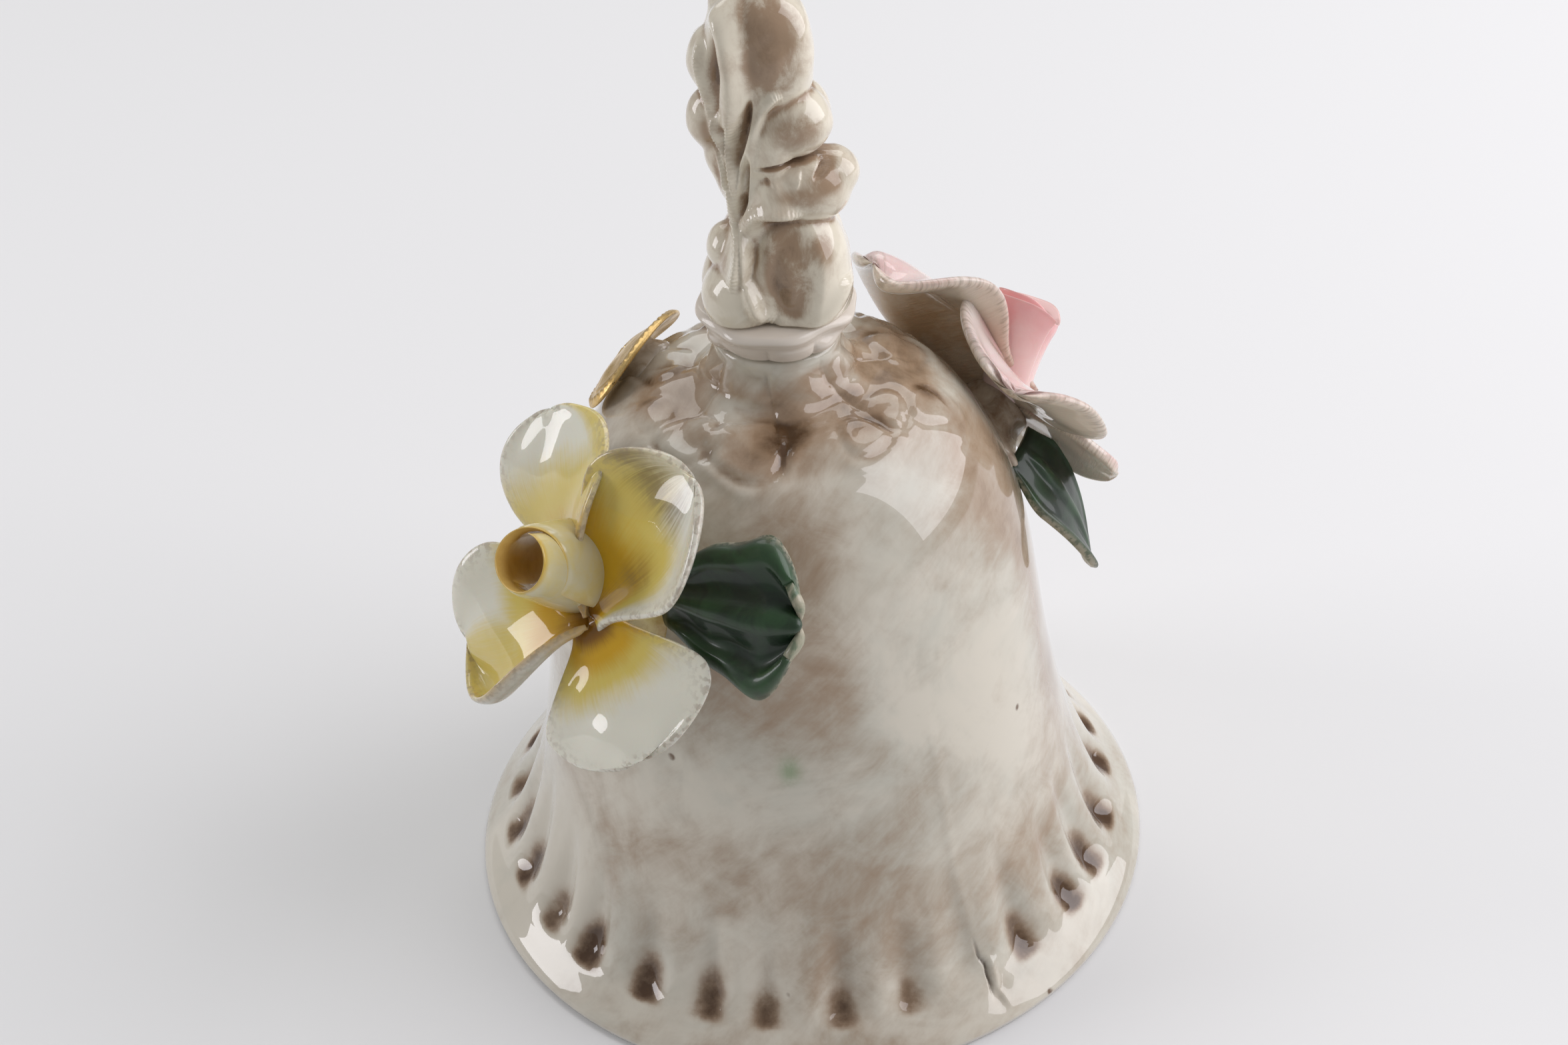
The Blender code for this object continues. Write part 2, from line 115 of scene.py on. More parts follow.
def blurred(field, rows, columns):
    """Field averaged over a box; columns wrap round, rows stop at their ends."""
    padded = np.pad(field, ((rows, rows), (0, 0)), mode="edge")
    padded = np.pad(padded, ((0, 0), (columns, columns)), mode="wrap")
    total = np.cumsum(np.pad(padded, ((1, 0), (0, 0))), axis=0)
    padded = (total[2 * rows + 1:] - total[:-2 * rows - 1]) / (2 * rows + 1)
    total = np.cumsum(np.pad(padded, ((0, 0), (1, 0))), axis=1)
    return (total[:, 2 * columns + 1:] - total[:, :-2 * columns - 1]) / (2 * columns + 1)


# ---------------------------------------------------------------- mesh helpers
def put_mesh(name, points, faces, fields, material):
    """One object from a point array, a list of face arrays and named point fields."""
    mesh = bpy.data.meshes.new(name)
    points = np.asarray(points, np.float32).reshape(-1, 3)
    sizes = np.concatenate([np.full(len(f), f.shape[1]) for f in faces])
    corners = np.concatenate([f.ravel() for f in faces]).astype(np.int32)
    mesh.vertices.add(len(points))
    mesh.vertices.foreach_set("co", points.ravel())
    mesh.loops.add(len(corners))
    mesh.loops.foreach_set("vertex_index", corners)
    mesh.polygons.add(len(sizes))
    starts = np.concatenate([[0], np.cumsum(sizes)[:-1]]).astype(np.int32)
    mesh.polygons.foreach_set("loop_start", starts)
    mesh.polygons.foreach_set("loop_total", sizes.astype(np.int32))
    mesh.update(calc_edges=True)
    mesh.validate()
    for key, values in fields.items():
        layer = mesh.attributes.new(key, 'FLOAT', 'POINT')
        layer.data.foreach_set("value", np.asarray(values, np.float32).ravel())
    mesh.shade_smooth()
    mesh.materials.append(material)
    obj = bpy.data.objects.new(name, mesh)
    bpy.context.scene.collection.objects.link(obj)
    return obj


def lathe_faces(rows, columns, first_pole, last_pole):
    """Quads of rows that close round their columns, and fans to the two pole vertices."""
    r, c = np.meshgrid(np.arange(rows - 1), np.arange(columns), indexing="ij")
    n = (c + 1) % columns
    quads = np.stack([r * columns + c, (r + 1) * columns + c,
                      (r + 1) * columns + n, r * columns + n], axis=-1).reshape(-1, 4)
    c = np.arange(columns)
    n = (c + 1) % columns
    faces = [quads]
    if first_pole is not None:
        faces.append(np.stack([np.full(columns, first_pole), c, n], axis=-1))
    if last_pole is not None:
        edge = (rows - 1) * columns
        faces.append(np.stack([np.full(columns, last_pole), edge + n, edge + c], axis=-1))
    return faces


def torus_faces(rows, columns):
    """Quads of a grid that closes both ways."""
    r, c = np.meshgrid(np.arange(rows), np.arange(columns), indexing="ij")
    d, n = (r + 1) % rows, (c + 1) % columns
    return [np.stack([r * columns + c, d * columns + c, d * columns + n, r * columns + n],
                     axis=-1).reshape(-1, 4)]


def tube_faces(rows, columns):
    """Quads of a closed tube whose two ends are shut by strips across the flat section."""
    faces = lathe_faces(rows, columns, None, None)
    half = columns // 2
    k = np.arange(half - 1)
    start = np.stack([k, k + 1, columns - 2 - k, columns - 1 - k], axis=-1)
    last = (rows - 1) * columns
    end = np.stack([columns - 1 - k, columns - 2 - k, k + 1, k], axis=-1) + last
    return faces + [start, end]


# ---------------------------------------------------------------- material helpers
class Paint:
    """A node material built line by line: a Principled shader and helpers that add nodes."""

    def __init__(self, name, roughness=0.2, metallic=0.0, coat=0.0, coat_roughness=0.03):
        """New material; a glaze coat takes over most of the base's own gloss."""
        self.material = bpy.data.materials.new(name)
        self.material.use_nodes = True
        self.tree = self.material.node_tree
        self.shader = self.tree.nodes["Principled BSDF"]
        self.set(self.shader, "Roughness", roughness)
        self.set(self.shader, "Metallic", metallic)
        self.set(self.shader, "Coat Weight", coat)
        self.set(self.shader, "Coat Roughness", coat_roughness)
        self.set(self.shader, "IOR", GLAZE_IOR)
        self.set(self.shader, "Specular IOR Level", 0.5 - 0.4 * coat)

    def set(self, node, socket, value):
        """A constant on the socket, or a link where the value is another node's output."""
        target = node.inputs[socket]
        if isinstance(value, bpy.types.NodeSocket):
            self.tree.links.new(value, target)
        elif isinstance(value, tuple) and len(value) == 3 and target.type == 'RGBA':
            target.default_value = (*value, 1.0)
        else:
            target.default_value = value

    def node(self, kind, output, properties=(), **inputs):
        """A node with its properties and inputs set; gives back one of its outputs."""
        made = self.tree.nodes.new(kind)
        for key, value in dict(properties).items():
            setattr(made, key, value)
        for key, value in inputs.items():
            self.set(made, int(key[1:]) if key[0] == "i" and key[1:].isdigit() else key, value)
        return made.outputs[output]

    def field(self, name):
        """A named point field of the mesh, as a number."""
        return self.node('ShaderNodeAttribute', "Fac", {"attribute_name": name})

    def place(self, scale=(1.0, 1.0, 1.0), turn=(0.0, 0.0, 0.0), shift=(0.0, 0.0, 0.0)):
        """Object coordinates, moved, turned and stretched."""
        where = self.node('ShaderNodeTexCoord', "Object")
        where = self.node('ShaderNodeMapping', "Vector", i0=where, i1=shift, i2=turn)
        return self.node('ShaderNodeMapping', "Vector", i0=where, i3=scale)

    def noise(self, vector, scale, detail=5.0, rough=0.55, twist=0.0):
        """Cloudy noise between 0 and 1."""
        return self.node('ShaderNodeTexNoise', "Fac", Vector=vector, Scale=scale, Detail=detail,
                         Roughness=rough, Distortion=twist)

    def math(self, operation, a, b=0.0, clamp=False):
        """One sum of two numbers."""
        return self.node('ShaderNodeMath', "Value", {"operation": operation, "use_clamp": clamp},
                         i0=a, i1=b)

    def weighted(self, *terms):
        """Sum of fields, each taken times its weight."""
        total = None
        for value, weight in terms:
            part = value if weight == 1.0 else self.math('MULTIPLY', value, weight)
            total = part if total is None else self.math('ADD', total, part)
        return total

    def ramp(self, value, low, high, to_low=0.0, to_high=1.0):
        """Number from one range to another, eased and clipped."""
        return self.node('ShaderNodeMapRange', "Result", {"interpolation_type": 'SMOOTHSTEP'},
                         Value=value, i1=low, i2=high, i3=to_low, i4=to_high)

    def mix(self, factor, a, b):
        """Colour a where the factor is 0, colour b where it is 1."""
        made = self.tree.nodes.new('ShaderNodeMix')
        made.data_type = 'RGBA'
        self.set(made, 0, factor)
        self.set(made, 6, a)
        self.set(made, 7, b)
        return made.outputs[2]

    def bump(self, height, strength, distance):
        """Fine relief on the shader's normal."""
        normal = self.node('ShaderNodeBump', "Normal", Height=height, Strength=strength,
                           Distance=distance)
        self.set(self.shader, "Normal", normal)

    def colour(self, value):
        """The shader's base colour."""
        self.set(self.shader, "Base Color", value)


# ---------------------------------------------------------------- body
FLUTES = 29              # pressed flutes round the skirt
FLUTE_PHASE = -9.4       # azimuth of one of them, degrees
SEAM_AZIMUTH = 30.3      # mould seam on the right front, degrees, at the rim


def seam_angle(height):
    """The seam leans: its azimuth falls a little with height over the rim radius."""
    return SEAM_AZIMUTH - 2.3 * height


def flute_fields(azimuth, run, radius):
    """Depth and wash of the pressed flutes.

    Across, each is a bell curve of the arc distance to the nearest flute; along the run from
    the rim it rises quickly over the border and fades up the waist.  Depth, place and wash
    differ a little from one to the next.
    """
    rng = np.random.default_rng(11)
    pitch = 360.0 / FLUTES
    index = np.round((azimuth - FLUTE_PHASE) / pitch).astype(int) % FLUTES
    shift = rng.uniform(-1.3, 1.3, FLUTES)[index]
    deep = rng.uniform(0.75, 1.2, FLUTES)[index]
    tall = rng.uniform(-1.0, 2.2, FLUTES)[index]
    dark = rng.uniform(0.55, 1.0, FLUTES)[index]
    faint = bump(wrap(azimuth - 27.0) / 12.0)
    deep = deep * (1.0 - 0.75 * faint)
    dark = dark * (1.0 - 0.85 * faint)
    across = np.radians(wrap(azimuth - FLUTE_PHASE - index * pitch - shift)) * radius / MM
    along = run / MM
    wide = np.clip(2.8 - 0.10 * (along - 5.0), 1.2, 3.0)
    rise = smoothstep((along - 4.4) / 3.4) * (1.0 - smoothstep((along - 8.0 - tall) / 15.0))
    hollow = rise * bump(across / wide)
    rib = rise * (1.0 - bump(across / (wide * 1.15)))
    depth = (-1.35 * deep * hollow + 0.38 * rib) * MM
    low = smoothstep((along - 4.2) / 1.8) * (1.0 - smoothstep((along - 7.6 - 0.6 * tall) / 6.0))
    wash = 1.15 * dark * low * bump(across / (wide * 0.90)) ** 1.2
    return depth, wash


# Moulded scroll ends on the shoulder: azimuth in degrees, then distance from the axis, size,
# height in mm and how much umber lies round them.
BOSSES = ((-47.0, 15.4, 3.5, 0.50, 0.16), (-17.0, 14.6, 4.3, 0.62, 0.95), (35.0, 15.4, 2.6, 0.50, 0.55),
          (55.0, 14.2, 2.6, 0.35, 0.30), (70.0, 18.0, 2.4, 0.35, 0.80), (-72.0, 15.6, 2.4, 0.25, 0.15),
          (108.0, 15.0, 3.4, 0.45, 0.40), (133.0, 18.0, 2.4, 0.30, 0.30), (152.0, 14.4, 3.6, 0.50, 0.60),
          (178.0, 18.8, 2.4, 0.30, 0.35), (-158.0, 14.8, 3.6, 0.45, 0.40), (-132.0, 18.4, 2.4, 0.30, 0.30),
          (-108.0, 14.6, 3.3, 0.45, 0.50))


def rosette_fields(azimuth, radius, height):
    """Relief and wash of the scroll ends on the shoulder.

    Each is a low flat boss with a soft step at its edge, a hollow eye and a raised crescent
    below; the umber lies in its step and to its right.
    """
    relief = np.zeros(azimuth.shape)
    stain = np.zeros(azimuth.shape)
    for place, reach, size, tall, umber in BOSSES:
        aside = np.radians(wrap(azimuth - place)) * np.maximum(radius / MM, 6.0)
        below = (radius / MM - reach) * 1.15
        away = np.hypot(aside, below)
        away = away * (1.0 + 0.10 * np.sin(3.0 * np.arctan2(below, aside) + place))
        disc = 1.0 - smoothstep((away - size + 0.8) / 1.6)
        crescent = bump((away - size - 1.7) / 0.75) * smoothstep((below + 0.35 * aside) / size)
        relief += 0.8 * tall * disc - 0.22 * tall * bump((away - 0.15 * size) / (0.42 * size))
        relief += 0.45 * tall * crescent - 0.10 * tall * bump((away - size - 0.55) / 0.45)
        right = bump(np.hypot(aside - 0.92 * size, below + 0.40 * size) / (0.78 * size))
        broken = 0.5 + 0.5 * np.sin(4.0 * np.arctan2(below, aside) + 0.7 * place)
        edge = 0.35 * broken * bump((away - size - 0.1) / 0.5)
        stain = np.maximum(stain, umber * right + 0.5 * edge)
    upper = smoothstep((height / RIM_R - 1.40) / 0.10)
    return relief * upper * MM, stain * upper


# Umber film wiped over the body, plus painted shade. The patches at azimuth 0 (height 0.03), 6 (0.20) and -4
# (0.42) painted-darken the low front where less light falls. The one at azimuth 74 (height 1.30) is a painted
# contact shadow beside the rose leaf's stem. Columns: azimuth in degrees, height over the rim radius, half
# spreads of both, strength.
FILMS_AND_PAINTED_SHADE = ((-8.0, 1.50, 22.0, 0.16, 0.75), (-74.0, 1.56, 26.0, 0.12, 0.55), (2.0, 1.28, 11.0, 0.24, 0.75),
         (-18.0, 1.14, 13.0, 0.22, 0.60), (8.0, 1.02, 8.0, 0.16, 0.42), (66.0, 1.42, 20.0, 0.20, 0.90),
         (78.0, 1.16, 12.0, 0.32, 0.70), (84.0, 0.80, 10.0, 0.30, 0.60), (-36.0, 0.52, 22.0, 0.15, 0.60),
         (-8.0, 0.56, 18.0, 0.12, 0.45), (18.0, 0.40, 14.0, 0.16, 0.35), (48.0, 0.38, 15.0, 0.14, 0.62),
         (70.0, 0.60, 14.0, 0.22, 0.60), (-60.0, 0.85, 16.0, 0.40, 0.45), (28.0, 0.70, 12.0, 0.16, 0.30),
         (40.0, 1.62, 16.0, 0.05, 0.55), (118.0, 1.30, 22.0, 0.30, 0.60), (74.0, 1.30, 10.0, 0.16, 0.85),
         (-4.0, 0.42, 16.0, 0.20, 0.35), (6.0, 0.20, 30.0, 0.14, 0.40), (0.0, 0.03, 40.0, 0.06, 0.55),
         (128.0, 0.55, 24.0, 0.18, 0.55), (165.0, 1.00, 18.0, 0.35, 0.50), (-150.0, 1.40, 24.0, 0.22, 0.65),
         (-128.0, 0.70, 22.0, 0.22, 0.55), (-100.0, 1.25, 16.0, 0.26, 0.50), (-172.0, 0.45, 20.0, 0.12, 0.55))


def film_and_shade_field(azimuth, height):
    """Sum of soft patches, each a bell curve in azimuth and height."""
    film = np.full(np.broadcast(azimuth, height).shape, 0.10)
    for place, level, wide, tall, strength in FILMS_AND_PAINTED_SHADE:
        film = film + strength * bump(wrap(azimuth - place) / wide) * bump((height - level) / tall)
    return np.clip(film, 0.0, 1.0)


def bell_body():
    """Hollow cast body.

    A turned surface: the outer line runs from the neck down to the rim, across the flat foot
    and up the inner wall to the recess in the ceiling.  The outer part is then pushed along its
    own normal by the flutes, the rosettes, the mould seam and the unevenness of a cast.
    """
    even = np.linspace(-180.0, 180.0, 4001)
    crowd = 1.0 + 16.0 * bump((even - SEAM_AZIMUTH + 0.6) / 1.6)
    total = np.concatenate([[0.0], np.cumsum((crowd[1:] + crowd[:-1]) / 2)])
    columns = BODY_COLUMNS
    azimuth = np.interp(np.arange(columns) / columns * total[-1], total, even)[None, :]

    outer = smooth_line(np.array(SKIRT) * RIM_R, BODY_ROWS)
    neck = [(NECK_R, NECK_TOP - 0.2 * MM), (NECK_R, 78.6 * MM), (NECK_R, 77.6 * MM)]
    outer = np.vstack([[(NECK_R - 0.3 * MM, NECK_TOP)], neck, outer])
    step = np.gradient(outer, axis=0)
    normal = np.stack([-step[:, 1], step[:, 0]], axis=1)
    normal /= np.linalg.norm(normal, axis=1)[:, None]
    lengths = np.concatenate([[0.0], np.cumsum(np.linalg.norm(np.diff(outer, axis=0), axis=1))])
    run = (lengths[-1] - lengths)[:, None]
    radius = outer[:, :1] + 0 * azimuth
    height = outer[:, 1:] + 0 * azimuth

    flute, wash = flute_fields(azimuth + 0 * radius, run + 0 * azimuth, radius)
    rosette, stain = rosette_fields(azimuth + 0 * radius, radius, height)
    aside = np.radians(wrap(azimuth - seam_angle(height / RIM_R))) * radius / MM
    seam_span = smoothstep((run / MM - 7.0) / 6.0) * smoothstep((1.02 - height / RIM_R) / 0.3)
    seam = 0.09 * bump(aside / 0.80) * seam_span * MM
    jog = 0.22 * np.sin(run / MM * 1.1) + 0.09 * np.sin(run / MM * 2.7)
    split_span = smoothstep((run / MM - 3.4) / 2.0) * smoothstep((12.0 - run / MM) / 5.0)
    split = split_span * bump((aside - jog) / 0.20)
    lip = smoothstep((run / MM - 1.0) / 2.0) * smoothstep((9.5 - run / MM) / 2.5)
    lip = lip * bump((aside - jog - 0.85) / 0.55)
    crack = (-0.40 * split + 0.30 * lip) * MM
    chip = 0.30 * bump((aside - 0.4) / 1.0) * bump((run / MM - 3.2) / 1.3) * MM
    turn = np.radians(azimuth)
    uneven = 0.14 * MM * ripple(turn, lengths[:, None] * 60.0, 5, waves=9)
    uneven = uneven * smoothstep(run / MM / 3.0) * smoothstep((outer[0, 1] - height) / MM / 4.0)
    collar_side = smoothstep((height / MM - 70.6) / 2.0) * (1.0 - smoothstep((height / MM - 77.4) / 1.2))
    drips = np.abs(np.sin(3.5 * turn + 0.9 + 0.12 * height / MM)) ** 0.7 - 0.55
    lumps = ripple(turn, height / MM * 0.55, 15, waves=9, low=2, high=7)
    push = flute + rosette + seam + crack - chip + uneven
    push = push + collar_side * (0.65 * drips + 0.28 * lumps) * MM

    cavity = blurred(push, 4, 5) - push
    pool = np.clip(cavity / (0.16 * MM), 0.0, 1.0) * smoothstep((height / RIM_R - 1.35) / 0.1)
    shade = np.clip(wash + 0.25 * pool + stain, 0.0, 1.0)
    # umber film, plus painted shade at the low front and a painted contact shadow beside the rose leaf
    film = film_and_shade_field(azimuth, height / RIM_R)
    film = film + collar_side * np.clip(0.62 + 0.45 * ripple(turn, height / MM * 0.4, 16, high=6)
                                        + 0.35 * bump(wrap(azimuth - 38.0) / 22.0), 0.0, 0.9)
    mark = np.clip(split, 0.0, 1.0)
    smudge = 0.75 * bump(wrap(azimuth + 4.0) / 2.2) * bump((height / RIM_R - 0.86) / 0.04)

    r_outer = radius + normal[:, :1] * push
    z_outer = height + normal[:, 1:] * push
    foot = np.array([(1.000, 0.014), (0.9985, 0.007), (0.993, 0.0015), (0.985, 0.0),
                     (0.958, 0.0), (0.941, 0.0), (0.934, 0.003), (0.930, 0.010)]) * RIM_R
    inner = np.array(SKIRT) * RIM_R
    step = np.gradient(inner, axis=0)
    inward = np.stack([step[:, 1], -step[:, 0]], axis=1)
    inner = inner + inward / np.linalg.norm(inward, axis=1)[:, None] * WALL
    inner = inner[(inner[:, 1] > 3 * MM) & (inner[:, 1] < CEILING_Z - 4 * MM)]
    inner = np.vstack([inner[:1] * 0 + (CEILING_R, CEILING_Z), inner, [(0.926 * RIM_R, 1.2 * MM)]])
    inner = smooth_line(inner, INNER_ROWS)[::-1]
    recess = PLUG_HIGH.x + 0.3 * MM
    top = PLUG_HIGH.z + 0.3 * MM
    ceiling = [(recess + 0.2 * MM, CEILING_Z), (recess, CEILING_Z + 0.2 * MM), (recess, top)]
    rest = np.vstack([foot, inner, ceiling])
    r_all = np.vstack([r_outer, rest[:, :1] + 0 * azimuth])
    z_all = np.vstack([z_outer, rest[:, 1:] + 0 * azimuth])
    points = np.stack([r_all * np.sin(turn), -r_all * np.cos(turn), z_all], axis=-1)
    rows = len(points)
    poles = np.array([(0.0, 0.0, NECK_TOP), (0.0, 0.0, top)])
    count = rows * columns
    points = np.vstack([points.reshape(-1, 3), poles])
    blank = np.zeros((rows - len(shade)) * columns + 2)
    inside = np.concatenate([np.zeros(shade.size), np.ones(len(blank))])
    fields = {"wash": np.concatenate([shade.ravel(), blank]),
              "film": np.concatenate([film.ravel(), blank]),
              "crack": np.concatenate([mark.ravel(), blank]),
              "smudge": np.concatenate([smudge.ravel(), blank]),
              "inside": inside}
    faces = lathe_faces(rows, columns, count, count + 1)
    body = put_mesh("glazed_bell_body", points, faces, fields, body_glaze())
    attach(body, "bell")
    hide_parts("bell_body")


def body_glaze():
    """Cream porcelain under a brushed, wiped umber film and a clear gloss glaze.

    The film lies in soft patches, broken up by clouds and by slanting brush lines; a few patches are
    painted shade at the low front and a painted contact shadow beside the rose leaf.  The umber
    pooled in the flutes and round the scroll ends is darker and mottled.
    """
    paint = Paint("body_glaze", roughness=0.20, coat=1.0, coat_roughness=0.015)
    cream = (0.64, 0.595, 0.50)
    greyish = (0.55, 0.53, 0.45)
    umber = (0.320, 0.212, 0.128)
    deep = (0.075, 0.036, 0.014)
    plain = paint.place()
    clouds = paint.noise(plain, 40.0, 5.0, 0.6, 0.8)
    mottle = paint.noise(plain, 170.0, 5.0, 0.65, 0.5)
    slant = paint.place((70.0, 70.0, 260.0), (0.20, 0.75, 0.20))
    swept = paint.noise(slant, 1.0, 6.0, 0.60, 1.2)
    bristle = paint.noise(paint.place((150.0, 150.0, 1000.0), (0.20, 0.75, 0.20)), 1.0, 3.0, 0.6, 0.6)
    broken = paint.weighted((clouds, 0.60), (swept, 0.20), (mottle, 0.42), (bristle, 0.10))
    uneven = paint.math('SUBTRACT', broken, 0.655)
    # the film field carries umber film and painted shade (low front, contact shadow by the rose leaf)
    film = paint.weighted((paint.field("film"), 0.80), (uneven, 2.6))
    base = paint.mix(paint.ramp(clouds, 0.40, 0.62), cream, greyish)
    stained = paint.mix(paint.ramp(film, 0.0, 1.05, 0.0, 0.90), base, umber)
    stained = paint.mix(paint.ramp(film, 0.85, 1.45, 0.0, 0.65), stained, deep)
    wash = paint.field("wash")
    patchy = paint.noise(plain, 420.0, 4.0, 0.6)
    blotch = paint.math('MULTIPLY', wash, paint.ramp(patchy, 0.22, 0.75, 0.70, 1.15), True)
    pooled = paint.mix(paint.ramp(blotch, 0.05, 0.55, 0.0, 0.9), stained, umber)
    pooled = paint.mix(paint.ramp(blotch, 0.20, 0.85), pooled, deep)
    speck = paint.node('ShaderNodeTexVoronoi', "Distance", Vector=plain, Scale=150.0, Randomness=1.0)
    rare = paint.noise(paint.place(shift=(0.3, 0.1, 0.0)), 90.0, 1.0)
    speck = paint.math('MULTIPLY', paint.ramp(speck, 0.05, 0.10, 1.0, 0.0),
                       paint.ramp(rare, 0.64, 0.68), True)
    pooled = paint.mix(speck, pooled, (0.16, 0.10, 0.06))
    green = paint.math('MULTIPLY', paint.field("smudge"), paint.ramp(mottle, 0.35, 0.6, 0.2, 1.0))
    pooled = paint.mix(green, pooled, (0.20, 0.30, 0.15))
    pooled = paint.mix(paint.math('MULTIPLY', paint.field("crack"), 0.8), pooled, (0.10, 0.065, 0.045))
    biscuit = paint.mix(paint.ramp(clouds, 0.3, 0.7), (0.60, 0.57, 0.52), (0.52, 0.49, 0.43))
    paint.colour(paint.mix(paint.field("inside"), pooled, biscuit))
    paint.bump(paint.noise(plain, 160.0, 3.0, 0.5), 0.10, 0.0004)
    return paint.material


# ---------------------------------------------------------------- handle and collar
# Lobes of the handle in mm: centre, radii and lean in degrees.  Heights are over the rim plane.
LOBES = (((-0.6, 0.0, 103.0), (3.4, 3.9, 24.0), 0.0),
         ((1.1, -0.3, 115.0), (4.9, 4.9, 8.0), -3.0),
         ((-2.6, -0.6, 113.6), (3.6, 4.1, 8.6), 3.0),
         ((-4.9, 0.0, 114.2), (2.8, 3.0, 3.9), 0.0),
         ((-4.7, 0.0, 107.3), (3.6, 3.0, 4.1), -10.0),
         ((-3.0, 0.0, 101.0), (3.0, 3.2, 7.5), -20.0),
         ((3.2, -1.0, 107.0), (4.4, 4.3, 4.0), 14.0),
         ((0.7, -1.2, 104.8), (3.2, 3.9, 4.7), 30.0),
         ((3.9, -1.0, 99.0), (5.6, 4.4, 4.2), 10.0),
         ((7.0, -0.2, 99.9), (3.3, 3.3, 2.9), 0.0),
         ((1.0, -1.2, 99.0), (3.3, 4.3, 3.6), 20.0),
         ((3.1, -1.2, 87.6), (5.9, 6.5, 10.0), 0.0),
         ((-3.9, -1.8, 85.8), (4.4, 5.2, 4.9), 0.0),
         ((-3.9, -1.4, 90.2), (2.2, 4.2, 5.6), 12.0),
         ((-4.6, 0.0, 91.3), (2.8, 3.0, 3.0), 0.0))
# Raised ridges of the handle: points across and up, half width and height, in mm.
RIDGES = ((((-4.4, 122.5), (-3.3, 118.0), (-3.1, 114.0), (-3.2, 110.5), (-3.4, 107.0)), 1.05, 1.00),
          (((-3.1, 112.5), (-3.3, 107.5), (-3.5, 103.0), (-3.6, 98.0), (-3.4, 94.6), (-4.0, 91.0),
            (-4.8, 88.5)), 0.62, 1.10),
          (((-5.9, 119.0), (-6.3, 115.5), (-5.9, 111.8), (-5.0, 107.6), (-4.5, 103.5), (-4.1, 99.0)),
           0.50, 0.85),
          (((2.4, 111.4), (0.9, 111.0), (-0.5, 108.6), (-1.6, 105.8), (-2.4, 102.2), (-2.9, 98.5)),
           0.60, 0.75),
          (((3.4, 96.8), (1.4, 97.6), (-0.8, 97.4), (-2.3, 95.2), (-2.6, 91.5), (-2.3, 88.0),
            (-1.5, 85.8), (0.2, 84.6)), 0.95, 1.30),
          (((-0.6, 84.9), (2.0, 84.3), (4.5, 84.6), (7.0, 86.2), (8.6, 89.0)), 1.0, 0.60),
          (((0.2, 101.3), (1.6, 101.9), (3.6, 101.4)), 0.8, 0.55))
# Hollows of the handle: centre across and up, half sizes, lean in degrees, depth, in mm.
PANELS = (((0.9, 117.0), (4.3, 7.8), -4.0, 0.60),
          ((-4.9, 113.2), (0.80, 5.6), 5.0, 1.0),
          ((-2.2, 107.2), (0.75, 4.6), 13.0, 1.1),
          ((-2.4, 100.6), (0.50, 4.6), 8.0, 1.0),
          ((-4.4, 103.0), (0.45, 5.0), -14.0, 0.6),
          ((6.7, 102.3), (2.0, 0.60), -32.0, 1.0),
          ((1.8, 103.2), (3.2, 0.50), -4.0, 0.8),
          ((2.1, 90.0), (3.4, 7.0), 4.0, 1.35))
# Umber wiped over the crowns of the lobes: centre across and up, half sizes, strength.
STAINS = (((0.4, 117.0), (4.6, 8.6), 0.56), ((3.4, 107.6), (3.4, 2.6), 0.46),
          ((3.6, 99.6), (3.4, 1.6), 0.45), ((1.4, 91.4), (3.2, 6.2), 0.66),
          ((-5.4, 107.0), (1.6, 3.4), 0.55), ((-5.0, 102.0), (0.9, 3.6), 0.80),
          ((6.4, 100.8), (2.6, 1.8), 0.55), ((5.6, 93.4), (1.6, 2.4), 0.5),
          ((-5.0, 91.2), (1.2, 2.0), 0.45), ((-1.6, 85.6), (1.2, 1.6), 0.8))


def ellipsoid_reach(angle, height, centre, radii, lean):
    """Distance from the handle's axis to the far side of a leaned ellipsoid, along each ray.

    It is the larger root of the quadratic that a level ray through the ellipsoid gives.
    """
    a = math.radians(lean)
    turn = np.array([[math.cos(a), 0.0, math.sin(a)], [0.0, 1.0, 0.0], [-math.sin(a), 0.0, math.cos(a)]])
    form = turn @ np.diag(1.0 / np.square(radii)) @ turn.T
    zero = 0 * angle * height
    ray = np.stack([np.sin(angle) + zero, -np.cos(angle) + zero, zero], axis=-1)
    start = np.stack([zero - centre[0], zero - centre[1], height + zero - centre[2]], axis=-1)
    square = np.einsum("...i,ij,...j->...", ray, form, ray)
    linear = np.einsum("...i,ij,...j->...", ray, form, start)
    rest = np.einsum("...i,ij,...j->...", start, form, start) - 1.0
    inside = linear ** 2 - square * rest
    reach = (-linear + np.sqrt(np.maximum(inside, 0.0))) / square
    return np.where((inside > 0.0) & (reach > 0.0), reach, 0.0)


def line_distance(x, z, line):
    """Distance from each point (x, z) to a smooth line through the given points."""
    dense = smooth_line([(a, 0.0, b) for a, b in line], 48)[:, [0, 2]]
    near = np.full(x.shape, 1e9)
    share = np.zeros(x.shape)
    for k, (a, b) in enumerate(dense):
        away = (x - a) ** 2 + (z - b) ** 2
        share = np.where(away < near, k / 47.0, share)
        near = np.minimum(near, away)
    return np.sqrt(near), share


